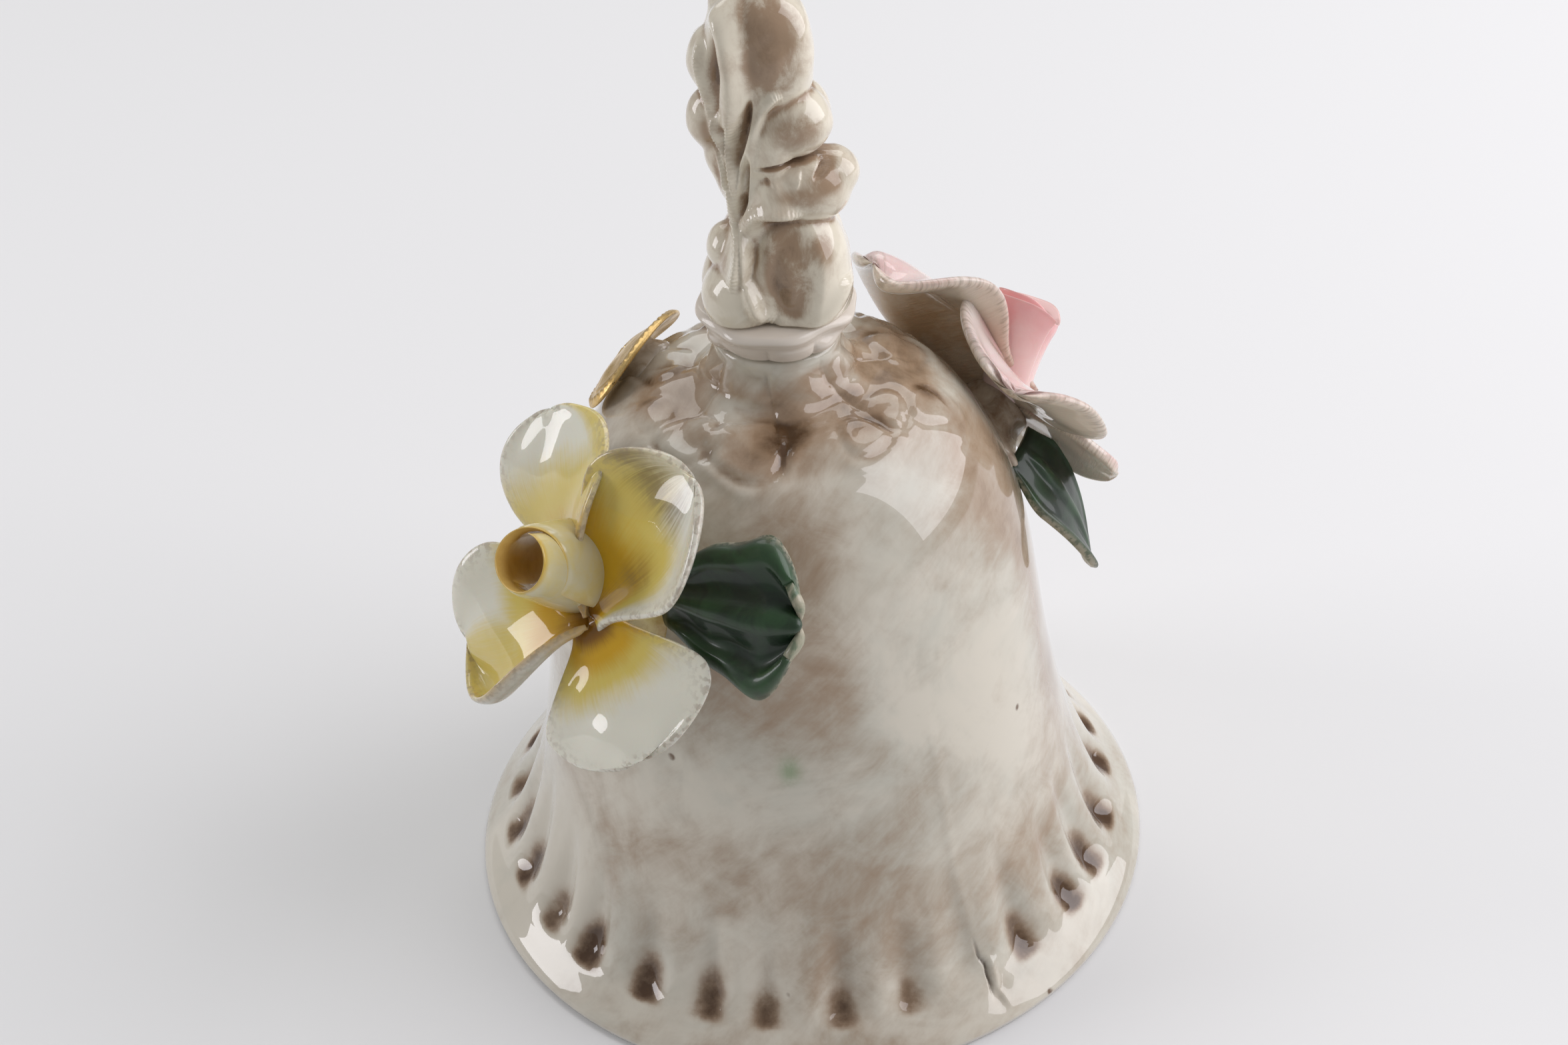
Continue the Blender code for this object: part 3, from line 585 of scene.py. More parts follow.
def scroll_handle():
    """Scroll handle, front and back alike.

    The distance from the axis is a soft maximum over leaned ellipsoids, each taken with its
    mirror image behind.  Ridges then rise as bell curves of the distance to a line in the front
    view, and hollows sink inside ellipses.
    """
    columns, rows = 300, 320
    angle = np.linspace(0.0, 2 * math.pi, columns, endpoint=False)[None, :]
    low, high = HANDLE_LOW.z / MM, HANDLE_HIGH.z / MM
    height = low + (high - low) * np.linspace(0.0, 1.0, rows)[:, None]
    soft = 0.22
    front = np.cos(angle) >= 0.0
    total = 0.0
    for centre, radii, lean in LOBES:
        near = ellipsoid_reach(angle, height, centre, radii, lean)
        far = ellipsoid_reach(angle, height, (centre[0], -centre[1], centre[2]), radii, lean)
        total = total + np.exp(np.maximum(near, 0.0) / soft) * front + np.exp(far / soft) * ~front
    reach = soft * np.log(total)
    reach = blurred(reach, 1, 1)
    x = reach * np.sin(angle)
    z = height + 0 * angle
    facing = smoothstep((np.abs(np.cos(angle)) - 0.10) / 0.35)
    raised = np.zeros(reach.shape)
    for line, half, tall in RIDGES:
        away, share = line_distance(x, z, line)
        ends = smoothstep(np.minimum(share, 1.0 - share) / 0.12 + 0.15)
        raised = np.maximum(raised, tall * ends * bump(away / half))
    sunk = np.zeros(reach.shape)
    for (cx, cz), (half_x, half_z), lean, depth in PANELS:
        a = math.radians(lean)
        across = (x - cx) * math.cos(a) - (z - cz) * math.sin(a)
        along = (z - cz) * math.cos(a) + (x - cx) * math.sin(a)
        away = np.sqrt((across / half_x) ** 2 + (along / half_z) ** 2)
        sunk = np.maximum(sunk, depth * (1.0 - smoothstep((away - 0.45) / 0.62)))
    reach = reach + facing * (raised - sunk)
    closing = np.sqrt(np.clip(1.0 - np.clip((height - high + 3.2) / 3.2, 0.0, 1.0) ** 2.4, 0.0, 1.0))
    reach = reach * np.maximum(closing, 0.02)
    reach = reach + 0.07 * ripple(angle, height * 0.35, 9, waves=8, low=1, high=5)
    valley = blurred(reach, 9, 7) - reach
    stain = np.zeros(reach.shape)
    for (cx, cz), (half_x, half_z), strength in STAINS:
        stain = np.maximum(stain, strength * bump(np.hypot((x - cx) / half_x, (z - cz) / half_z) ** 1.5))
    stain = stain * facing * (1.0 - np.clip(raised / 0.4, 0.0, 1.0))
    wash = np.clip(np.maximum(valley / 0.40, stain) + 0.18 * sunk * facing, 0.0, 1.2)
    wash = blurred(wash * (1.0 - 0.85 * np.clip(raised, 0.0, 1.0)), 2, 2)
    points = np.stack([reach * np.sin(angle), -reach * np.cos(angle), z], axis=-1)[::-1]
    wash = wash[::-1]
    ends = np.array([(0.0, 0.0, high), (0.0, 0.0, low)])
    flat = np.vstack([points.reshape(-1, 3), ends]) * MM
    faces = lathe_faces(rows, columns, rows * columns, rows * columns + 1)
    handle = put_mesh("scroll_handle", flat, faces,
                      {"wash": np.concatenate([wash.ravel(), (0.0, 0.0)])}, handle_glaze())
    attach(handle, "bell")
    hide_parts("handle")


def handle_glaze():
    """Cream porcelain with umber settled in the hollows, brushed lengthwise, under gloss glaze."""
    paint = Paint("handle_glaze", roughness=0.22, coat=1.0, coat_roughness=0.02)
    cream = (0.74, 0.68, 0.55)
    umber = (0.36, 0.250, 0.160)
    deep = (0.20, 0.130, 0.080)
    clouds = paint.noise(paint.place(), 120.0, 3.0, 0.5, 0.5)
    brushed = paint.noise(paint.place((340.0, 340.0, 230.0), (0.25, 0.1, 0.0)), 1.0, 6.0, 0.70, 0.4)
    wash = paint.field("wash")
    loose = paint.weighted((brushed, 0.75), (clouds, 0.45))
    amount = paint.math('MULTIPLY', wash, paint.ramp(loose, 0.36, 0.72, 0.45, 1.30))
    film = paint.ramp(loose, 0.50, 0.78, 0.0, 0.48)
    base = paint.mix(film, cream, umber)
    stained = paint.mix(paint.ramp(amount, 0.12, 0.62), base, umber)
    stained = paint.mix(paint.ramp(amount, 0.60, 1.20), stained, deep)
    paint.colour(stained)
    paint.bump(paint.noise(paint.place(), 300.0, 3.0, 0.5), 0.08, 0.0003)
    return paint.material


def rolled_collar():
    """Collar between neck and handle.

    A turned line: a thin bead at the top edge, a cove below it and a soft flare down to the
    neck.  The radius wanders in low waves and shallow facets, as pressed clay does.
    """
    low, high, reach = COLLAR_LOW.z / MM, COLLAR_HIGH.z / MM, COLLAR_HIGH.x / MM
    line = smooth_line(((reach - 1.6, high), (reach - 0.55, high - 0.10), (reach - 0.08, high - 0.75),
                        (reach - 0.42, high - 1.40), (reach - 0.80, high - 2.0), (reach - 0.95, high - 2.6),
                        (reach - 1.25, high - 3.3), (reach - 1.70, high - 3.9), (reach - 2.2, low)), 70)
    line = np.vstack([[(0.4 * reach, high)], line, [(0.4 * reach, low)]])
    columns = 240
    turn = np.linspace(0.0, 2 * math.pi, columns, endpoint=False)[None, :]
    outward = smoothstep((line[:, :1] / reach - 0.6) / 0.3)
    wave = ripple(turn, line[:, 1:] * 0.25, 21, waves=9, low=2, high=8)
    facet = np.abs(np.sin(4.5 * turn + 0.8)) ** 0.6 - 0.6
    lower = smoothstep((high - 1.6 - line[:, 1:]) / 1.5)
    r = line[:, :1] + outward * (0.30 * wave - 0.34 + 0.80 * facet * lower)
    z = line[:, 1:] + 0.10 * outward * ripple(turn, 0 * line[:, 1:], 22, waves=5, low=1, high=5)
    z = np.clip(z, low, high)
    groove = blurred(r, 3, 5) - r
    film = 0.30 + 0.55 * ripple(turn, line[:, 1:] * 0.5, 23, waves=8, low=1, high=7)
    wash = np.clip(groove / 0.06 + film, 0.0, 1.0)
    points = np.stack([r * np.sin(turn), -r * np.cos(turn), z], axis=-1)
    rows = len(points)
    ends = np.array([(0.0, 0.0, high), (0.0, 0.0, low)])
    flat = np.vstack([points.reshape(-1, 3), ends]) * MM
    faces = lathe_faces(rows, columns, rows * columns, rows * columns + 1)
    collar = put_mesh("rolled_collar", flat, faces,
                      {"wash": np.concatenate([wash.ravel(), (0.5, 0.5)])},
                      bpy.data.materials["handle_glaze"])
    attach(collar, "bell")
    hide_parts("handle_collar")


# ---------------------------------------------------------------- hand-modelled petals and leaves
# Centres in mm and facings (azimuth, rise) in degrees of the two flowers; clay thicknesses in mm.
FRANGIPANI_CENTRE = (-23.4, -25.4, 59.6)
FRANGIPANI_FACING = (-34.0, 32.0)
ROSE_CENTRE = (28.0, 13.5, 58.5)
ROSE_FACING = (125.0, 28.0)
FRANGIPANI_THICK = 1.15
ROSE_THICK = 1.5
BUD_THICK = 0.9
LEAF_THICK = 1.0


def facing_frame(azimuth, rise):
    """Sideways, upward and outward directions of a flower that faces an azimuth and a rise."""
    a, e = math.radians(azimuth), math.radians(rise)
    out = np.array([math.sin(a) * math.cos(e), -math.cos(a) * math.cos(e), math.sin(e)])
    side = np.array([math.cos(a), math.sin(a), 0.0])
    return side, np.cross(out, side), out


def running_sum(field, axis, middle=None):
    """Trapezoid sums along an axis, starting from 0 at the first or at the middle line."""
    field = np.moveaxis(field, axis, 0)
    steps = (field[1:] + field[:-1]) / 2
    total = np.concatenate([np.zeros_like(field[:1]), np.cumsum(steps, axis=0)])
    if middle is not None:
        total = total - total[middle:middle + 1]
    return np.moveaxis(total, 0, axis)


def sheet_grid(centre, facing, turn, long, half, slopes, cup, tilts, curls=(0.0, 0.0),
               base=0.25, widest=0.62, folds=(0.0, 0.0, 0.0), scallops=(0.0, 0.0),
               notches=(0.0, 0.0), ruffle=(0.0, 0.0, 0.0), sides=(1.0, 1.0), seed=1):
    """Middle surface of a pressed clay sheet, in mm, and its two parameters.

    The centre line leaves the centre at an angle (turn) in the facing plane and its slope eases
    from the first to the second value.  Across it the sheet turns by the tilt, plus the cup
    angle times t, plus a curl near each margin.  The half width eases up to the widest place
    and closes like an ellipse; each side of the centre line has its own share.  Folds run
    lengthwise: waves, height and phase.  Notches wave the far edge; a ruffle lifts and drops the
    margin of positive t along its length.  All three fade where the sheet closes to its tip.
    """
    side, up, out = facing_frame(*facing)
    first = np.linspace(0.0, widest, 30, endpoint=False)
    second = widest + (1.0 - widest) * np.sin(np.linspace(0.0, math.pi / 2, 34))
    s = np.concatenate([first, second])
    t = np.sin(np.linspace(-math.pi / 2, math.pi / 2, 61))
    slope = np.radians(slopes[0] + (slopes[1] - slopes[0]) * s)
    step = np.gradient(s)
    reach = running_sum(np.cos(slope) * step, 0) * long
    rise = running_sum(np.sin(slope) * step, 0) * long
    a = math.radians(turn)
    along = math.cos(a) * side + math.sin(a) * up
    aside = -math.sin(a) * side + math.cos(a) * up
    lift = -np.sin(slope)[:, None] * along + np.cos(slope)[:, None] * out
    closing = np.sqrt(np.clip(1.0 - ((s - widest) / (1.0 - widest)) ** 2, 0.0, 1.0))
    width = np.where(s < widest, base + (1.0 - base) * smoothstep(s / widest), closing)
    width = np.maximum(width, 0.02) * half
    uneven = ripple(4.0 * s[:, None], np.sign(t)[None, :] * 1.5, seed, waves=5, low=1, high=3)
    width = width[:, None] * (1.0 + 0.022 * uneven)
    width = width * (1.0 + scallops[1] * np.cos(scallops[0] * 2 * math.pi * s)[:, None])
    width = width * (sides[0] + (sides[1] - sides[0]) * smoothstep((t + 0.3) / 0.6))
    lean = np.radians(tilts[0] + (tilts[1] - tilts[0]) * s)[:, None] + math.radians(cup) * t
    lean = lean + math.radians(curls[1]) * smoothstep((t - 0.35) / 0.65)
    lean = lean - math.radians(curls[0]) * smoothstep((-t - 0.35) / 0.65)
    dt = np.gradient(t)[None, :]
    middle = len(t) // 2
    across = running_sum(np.cos(lean) * dt, 1, middle) * width
    height = running_sum(np.sin(lean) * dt, 1, middle) * width
    room = np.where(s < widest, 1.0, smoothstep(closing / 0.55))
    waves, tall, phase = folds
    height = height + tall * np.cos(waves * math.pi * t + phase) * (s ** 0.8 * room)[:, None]
    height = height + 0.10 * half / 9.0 * ripple(5 * s[:, None], 2.0 * t, seed + 50, waves=6)
    waves, tall, phase = ruffle
    swing = tall * np.sin(2 * math.pi * waves * s + phase) * room
    height = height + swing[:, None] * smoothstep((t + 0.1) / 1.1)
    line = np.asarray(centre, float) + reach[:, None] * along + rise[:, None] * out
    points = line[:, None, :] + across[..., None] * aside + height[..., None] * lift[:, None, :]
    far = notches[1] * np.cos(notches[0] * math.pi * t) * (s ** 4 * room)[:, None]
    points = points + far[..., None] * along
    return points, s[:, None] + 0 * t, t + 0 * s[:, None]


def thick_sheet(name, middle, thickness, fields, material, relief=None):
    """Closed sheet: the middle surface moved half the thickness to each side along its normal.

    The thickness closes at the margins as an ellipse does, and the relief is added in front.
    """
    rows, columns = middle.shape[:2]
    normal = np.cross(np.gradient(middle, axis=0), np.gradient(middle, axis=1))
    normal /= np.maximum(np.linalg.norm(normal, axis=2)[..., None], 1e-9)
    along = np.linspace(0.0, 1.0, rows)[:, None]
    across = np.linspace(-math.pi / 2, math.pi / 2, columns)[None, :]
    margin = np.clip(1.0 - np.abs(np.sin(across)) ** 14, 0.0, 1.0) ** 0.5
    tip = np.sin(np.clip((1.0 - along) / 0.16, 0.03, 1.0) * math.pi / 2)
    foot = np.sin(np.clip(along / 0.05, 0.25, 1.0) * math.pi / 2)
    half = 0.5 * thickness * np.maximum(margin * tip * foot, 0.06)
    front = middle + normal * half[..., None]
    if relief is not None:
        front = front + normal * (relief * margin * tip)[..., None]
    rear = middle - normal * half[..., None]
    loop = np.concatenate([front, rear[:, ::-1]], axis=1) * MM
    both = {key: np.concatenate([value, value[:, ::-1]], axis=1) for key, value in fields.items()}
    face = np.concatenate([margin + 0 * along, -(margin + 0 * along)], axis=1)
    both["front"] = 0.5 + 0.5 * face
    return put_mesh(name, loop, tube_faces(rows, 2 * columns), both, material)


def rolled_grid(centre, axis, long, radii, turns=1.35, start=0.0, spread=0.20, lip=0.10, drop=0.10,
                round_off=0.0):
    """A petal rolled up on itself, in mm.

    Round the axis the radius grows with each turn and from base to mouth.  The mouth's edge
    rises and falls once a turn and drops back along the outer turn; it may round off at two sides.
    """
    axis = np.asarray(axis, float) / np.linalg.norm(axis)
    first = np.cross((0.0, 0.0, 1.0), axis)
    first /= np.linalg.norm(first)
    second = np.cross(axis, first)
    s = np.linspace(0.0, 1.0, 50)[:, None]
    q = (np.sin(np.linspace(-math.pi / 2, math.pi / 2, 121))[None, :] + 1.0) / 2
    angle = math.radians(start) + 2 * math.pi * turns * q
    grow = 1.0 - spread + 2.0 * spread * q
    radius = (radii[0] + (radii[1] - radii[0]) * smoothstep(s * 0.55 + 0.05) / smoothstep(0.6)) * grow
    flare = 1.0 + 0.10 * s ** 8
    edge = 1.0 + lip * np.cos(angle - 0.6) - drop * smoothstep((q - 0.5) / 0.5)
    edge = edge - round_off * np.cos(angle) ** 4
    rise = long * s * (1.0 + (edge - 1.0) * s)
    spoke = np.cos(angle)[..., None] * first + np.sin(angle)[..., None] * second
    points = np.asarray(centre, float) + (radius * flare)[..., None] * spoke + rise[..., None] * axis
    return points, s + 0 * q, 2.0 * q - 1.0 + 0 * s


def clay_petal(name, node, slot, material, thickness, dye, shade, **shape):
    """One petal: its dye and shade are functions of the two sheet parameters."""
    points, s, t = sheet_grid(**shape)
    fields = {"along": s, "across": t, "dye": dye(s, t), "shade": shade(s, t),
              "margin": np.maximum(np.abs(t) ** 8, smoothstep((s - 0.93) / 0.07))}
    petal = thick_sheet(name, points, thickness, fields, material)
    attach(petal, "bell")
    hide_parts(node)


def yellow_petal_glaze():
    """White frangipani glaze: gold throat through lemon to ivory, brown-freckled rims; the shade field adds
    umber and painted shade, and the backs are painted greyer as painted shade.
    """
    paint = Paint("yellow_petal_glaze", roughness=0.20, coat=1.0, coat_roughness=0.02)
    ivory = (0.78, 0.765, 0.645)
    lemon = (0.69, 0.55, 0.13)
    gold = (0.62, 0.36, 0.012)
    amber = (0.24, 0.105, 0.006)
    rear = (0.58, 0.565, 0.50)
    umber = (0.20, 0.145, 0.075)
    line = paint.node('ShaderNodeCombineXYZ', "Vector", X=paint.math('MULTIPLY', paint.field("along"), 3.0),
                      Y=paint.math('MULTIPLY', paint.field("across"), 34.0))
    hair = paint.noise(line, 1.0, 4.0, 0.6)
    cloud = paint.noise(paint.place(), 260.0, 4.0, 0.55, 0.4)
    broken = paint.weighted((hair, 0.35), (cloud, 0.35))
    dye = paint.weighted((paint.field("dye"), 1.0), (paint.math('SUBTRACT', broken, 0.35), 0.55))
    front = paint.mix(paint.ramp(dye, 0.10, 0.50), ivory, lemon)
    front = paint.mix(paint.ramp(dye, 0.50, 0.85), front, gold)
    front = paint.mix(paint.ramp(dye, 0.90, 1.25), front, amber)
    # the shade field puts umber in the scratches near the rim and, on the right petal, a painted shadow in
    # its cup
    shade = paint.math('MULTIPLY', paint.field("shade"), paint.ramp(broken, 0.25, 0.45, 0.50, 1.15))
    front = paint.mix(paint.ramp(shade, 0.05, 1.0, 0.0, 0.75), front, umber)
    # the petals' backs are painted greyer and darker than the ivory front: painted shade
    back = paint.mix(paint.ramp(cloud, 0.35, 0.7), rear, (0.50, 0.47, 0.38))
    back = paint.mix(paint.ramp(dye, 0.75, 1.2, 0.0, 0.6), back, gold)
    whole = paint.mix(paint.field("front"), back, front)
    freckle = paint.noise(paint.place(), 1500.0, 2.0, 0.5)
    rim = paint.math('MULTIPLY', paint.field("margin"), paint.ramp(freckle, 0.45, 0.62), True)
    whole = paint.mix(paint.math('MULTIPLY', rim, 0.55), whole, (0.30, 0.24, 0.17))
    paint.colour(whole)
    paint.set(paint.shader, "Subsurface Weight", 0.08)
    paint.set(paint.shader, "Subsurface Scale", 0.002)
    paint.bump(paint.weighted((hair, 0.5), (cloud, 1.0)), 0.09, 0.0003)
    return paint.material


def yellow_flower():
    """Four open petals and the fifth rolled into a bud."""
    glaze = yellow_petal_glaze()
    common = {"slot": "yellow_petal", "material": glaze, "thickness": FRANGIPANI_THICK}
    centre, facing = FRANGIPANI_CENTRE, FRANGIPANI_FACING

    def throat(s, reach, strength):
        """Dye that falls from the flower's centre to nothing at its reach."""
        return strength * np.clip(1.0 - s / reach, 0.0, 1.0) ** 0.8

    clay_petal("frangipani_petal_top", "yellow_petal_top", **common, seed=3,
               dye=lambda s, t: np.maximum(throat(s, 0.86, 1.20), 0.42 * smoothstep((-t - 0.45) / 0.4)),
               shade=lambda s, t: 0.10 * smoothstep((s - 0.8) / 0.2) * smoothstep(-t),
               centre=centre, facing=facing, turn=120.2, long=24.4, half=10.3, slopes=(5.7, -14.1),
               cup=5.4, tilts=(-70.3, 5.2))
    clay_petal("frangipani_petal_right", "yellow_petal_right", **common, seed=4,
               dye=lambda s, t: np.maximum(throat(s, 0.92, 1.30) * smoothstep((t + 1.0) / 0.7),
                                           0.55 * smoothstep((t + 0.35) / 0.5)
                                           * (1.0 - 0.6 * smoothstep((s - 0.7) / 0.3))),
               # shade: umber band in the scratches under the rim, and a painted shadow in the middle of the
               # cupped petal
               shade=lambda s, t: (0.85 * bump((s - 0.83) / 0.13) * smoothstep((t + 0.65) / 0.5)
                                   + 0.6 * bump((s - 0.42) / 0.16) * bump((t + 0.30) / 0.30)),
               centre=centre, facing=facing, turn=58.5, long=23.6, half=10.15, slopes=(19.5, 5.4),
               cup=22.0, tilts=(1.4, -14.0), curls=(22.0, 12.0))
    clay_petal("frangipani_petal_bottom", "yellow_petal_bottom", **common, seed=5,
               dye=lambda s, t: (1.75 * np.clip(1.0 - (s + 0.22 * t * t) / 0.86, 0.0, 1.0) ** 1.7
                                 + 0.25 * bump((t - 0.93) / 0.1) * (1.0 - s)),
               shade=lambda s, t: 0.0 * s,
               centre=centre, facing=facing, turn=-48.9, long=17.5, half=11.4, slopes=(4.0, 5.9),
               cup=-9.9, tilts=(-4.1, -0.3), folds=(1.4, 0.5, 0.5))
    clay_petal("frangipani_petal_left", "yellow_petal_left", **common, seed=6,
               dye=lambda s, t: np.maximum(throat(s, 0.66, 1.3), 0.44 * smoothstep((t + 0.5) / 0.6)
                                           + 0.55 * smoothstep((t - 0.82) / 0.14) * (1.1 - s)),
               shade=lambda s, t: 0.0 * s,
               centre=centre, facing=facing, turn=206.9, long=20.0, half=10.6,
               slopes=(11.2, -27.7), cup=4.0, tilts=(30.0, -16.0), curls=(0.0, 105.0))

    points, s, t = rolled_grid((-24.1, -20.4, 62.6), (-0.42, -0.645, 0.63), 13.0, (5.1, 3.25), turns=-1.35,
                               start=86.0, spread=0.12, lip=0.04, drop=0.30)
    inner = np.clip(0.75 * smoothstep((s - 0.90) / 0.1) + 0.30 * smoothstep((t - 0.75) / 0.25), 0.0, 1.3)
    fields = {"along": s, "across": t, "dye": inner + 0.10 * s + throat(s, 0.25, 1.0), "shade": 0.0 * s,
              "margin": 0.4 * smoothstep((s - 0.97) / 0.03)}
    bud = thick_sheet("frangipani_bud", points, BUD_THICK, fields, bud_glaze())
    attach(bud, "bell")
    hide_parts("yellow_bud")


def bud_glaze():
    """Ivory outside, mustard inside the rolled mouth."""
    paint = Paint("bud_glaze", roughness=0.20, coat=1.0, coat_roughness=0.02)
    cloud = paint.noise(paint.place(), 300.0, 4.0, 0.6, 0.4)
    outside = paint.mix(paint.ramp(cloud, 0.35, 0.65), (0.60, 0.55, 0.36), (0.62, 0.53, 0.25))
    outside = paint.mix(paint.ramp(paint.field("dye"), 0.35, 0.9), outside, (0.60, 0.40, 0.06))
    inside = paint.mix(paint.ramp(cloud, 0.3, 0.7), (0.84, 0.60, 0.20), (0.72, 0.47, 0.13))
    paint.colour(paint.mix(paint.field("front"), inside, outside))
    paint.bump(cloud, 0.10, 0.0003)
    return paint.material


def pink_petal_glaze():
    """Ivory sheet with a rose blush inside, umber wiped into the scratches of its back, and painted shade on
    the back, mostly near the base.
    """
    paint = Paint("pink_petal_glaze", roughness=0.24, coat=1.0, coat_roughness=0.03)
    line = paint.node('ShaderNodeCombineXYZ', "Vector", X=paint.math('MULTIPLY', paint.field("along"), 60.0),
                      Y=paint.math('MULTIPLY', paint.field("across"), 3.0))
    comb = paint.noise(line, 1.0, 4.0, 0.65)
    cloud = paint.noise(paint.place(), 190.0, 4.0, 0.55, 0.4)
    dye = paint.weighted((paint.field("dye"), 1.0), (paint.math('SUBTRACT', cloud, 0.5), 0.6))
    front = paint.mix(paint.ramp(dye, 0.05, 0.55), (0.76, 0.70, 0.65), (0.72, 0.45, 0.43))
    front = paint.mix(paint.ramp(dye, 0.60, 1.10), front, (0.60, 0.20, 0.22))
    # the shade field is painted shade on the petals' backs; the combed scratches add real umber
    shade = paint.math('MULTIPLY', paint.field("shade"), paint.ramp(cloud, 0.3, 0.7, 0.7, 1.2))
    shade = paint.math('ADD', shade, paint.ramp(comb, 0.50, 0.85, 0.0, 0.30), True)
    back = paint.mix(shade, (0.70, 0.62, 0.50), (0.42, 0.27, 0.15))
    back = paint.mix(paint.ramp(dye, 0.75, 1.2, 0.0, 0.5), back, (0.72, 0.45, 0.43))
    whole = paint.mix(paint.field("front"), back, front)
    scratch = paint.math('MULTIPLY', paint.ramp(paint.field("margin"), 0.15, 0.6),
                         paint.ramp(comb, 0.42, 0.66), True)
    whole = paint.mix(paint.math('MULTIPLY', scratch, 0.55), whole, (0.30, 0.23, 0.16))
    paint.colour(whole)
    paint.set(paint.shader, "Subsurface Weight", 0.08)
    paint.set(paint.shader, "Subsurface Scale", 0.002)
    paint.bump(paint.weighted((comb, 1.3), (cloud, 1.0)), 0.22, 0.0004)
    return paint.material


def pink_bud_glaze():
    """Rose outside, stronger towards the mouth's rim, pale rose inside, with a wiped spot."""
    paint = Paint("pink_bud_glaze", roughness=0.26, coat=0.8, coat_roughness=0.04)
    cloud = paint.noise(paint.place(), 330.0, 4.0, 0.6, 0.5)
    deep = paint.weighted((paint.field("along"), 1.0), (cloud, 0.7))
    outside = paint.mix(paint.ramp(deep, 0.55, 1.55), (0.86, 0.66, 0.62), (0.82, 0.40, 0.40))
    outside = paint.mix(paint.ramp(cloud, 0.60, 0.74, 0.0, 0.5), outside, (0.74, 0.66, 0.58))
    paint.colour(paint.mix(paint.field("front"), (0.80, 0.52, 0.49), outside))
    paint.set(paint.shader, "Subsurface Weight", 0.08)
    paint.set(paint.shader, "Subsurface Scale", 0.002)
    paint.bump(cloud, 0.15, 0.0003)
    return paint.material


def pink_flower():
    """Flower on the right, turned away: its petals' backs, thick combed rims and the pink bud."""
    common = {"slot": "pink_petal", "material": pink_petal_glaze(), "thickness": ROSE_THICK}
    centre, facing = ROSE_CENTRE, ROSE_FACING

    def blush(s, t):
        """Two bands of rose across the petal: one near the base, one along the rim."""
        return 0.85 * bump((s - 0.25) / 0.3) + 0.35 * bump((s - 0.95) / 0.2)

    # each petal's shade function is painted shade on its back, mostly near the base under the flower
    clay_petal("rose_petal_inner", "pink_petal_inner", **common, seed=13, dye=blush,
               shade=lambda s, t: 0.75 * bump((s - 0.55) / 0.3) * smoothstep((0.75 - t) / 0.6)
               + 0.5 * bump((s - 0.2) / 0.25),
               centre=centre, facing=facing, turn=70.5, long=27.5, half=12.0,
               slopes=(23.8, -30.5), widest=0.70, base=0.45,
               sides=(1.15, 0.72), cup=-1.4, tilts=(46.0, -9.0), folds=(1.6, 0.9, 0.6),
               ruffle=(1.4, 1.5, 2.4))
    clay_petal("rose_petal_front", "pink_petal_front", **common, seed=14, dye=blush,
               shade=lambda s, t: 0.55 * bump((s - 0.15) / 0.25) + 0.25 * bump((t + 0.2) / 0.3),
               centre=centre, facing=facing, turn=131.0, long=17.6, half=12.6, slopes=(13.9, -31.0),
               cup=34.3, tilts=(-22.0, 15.0), ruffle=(1.1, 1.0, 0.5))
    clay_petal("rose_petal_outer", "pink_petal_outer", **common, seed=15, dye=blush,
               shade=lambda s, t: 0.3 * bump((s - 0.15) / 0.25),
               centre=(28.4, 13.8, 58.7), facing=facing, turn=210.0, long=17.4, half=6.0,
               slopes=(-2.0, 12.5),
               cup=-7.0, tilts=(-2.6, -6.3))
    clay_petal("rose_petal_rear", "pink_petal_rear", **common, seed=16, dye=blush,
               shade=lambda s, t: 0.4 * bump((s - 0.15) / 0.25),
               centre=centre, facing=facing, turn=292.0, long=17.5, half=9.2, slopes=(16.0, -12.0),
               cup=12.0, tilts=(0.0, 6.0))
    points, s, t = rolled_grid((28.4, 13.0, 58.6), (0.22, 0.44, 0.87), 13.4, (2.5, 5.0), start=60.0,
                               turns=1.25, lip=0.06, drop=0.05, round_off=0.18)
    fields = {"along": s, "across": t, "margin": 0.0 * s}
    bud = thick_sheet("rose_bud", points[:, ::-1], BUD_THICK,
                      {key: value[:, ::-1] for key, value in fields.items()}, pink_bud_glaze())
    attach(bud, "bell")
    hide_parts("pink_bud")


def leaf_glaze():
    """Deep green gloss that runs thin over the ribs and breaks to bare ivory on the edge."""
    paint = Paint("leaf_glaze", roughness=0.42, coat=0.35, coat_roughness=0.10)
    cloud = paint.noise(paint.place(), 230.0, 5.0, 0.6, 0.6)
    fine = paint.noise(paint.place(), 1300.0, 3.0, 0.6)
    green = paint.mix(paint.ramp(cloud, 0.35, 0.68), (0.004, 0.014, 0.005), (0.010, 0.036, 0.011))
    ribs = paint.math('MULTIPLY', paint.field("rib"), paint.ramp(cloud, 0.3, 0.65, 0.3, 1.0), True)
    green = paint.mix(paint.math('MULTIPLY', ribs, 0.75), green, (0.030, 0.085, 0.028))
    bare = paint.math('MULTIPLY', paint.field("margin"), paint.ramp(fine, 0.38, 0.56), True)
    back = paint.mix(paint.ramp(cloud, 0.4, 0.65), (0.42, 0.38, 0.28), (0.06, 0.12, 0.06))
    green = paint.mix(paint.math('MULTIPLY', bare, 0.9), green, (0.34, 0.31, 0.23))
    paint.colour(paint.mix(paint.field("front"), back, green))
    paint.bump(paint.weighted((cloud, 1.0), (fine, 0.25)), 0.15, 0.0004)
    return paint.material


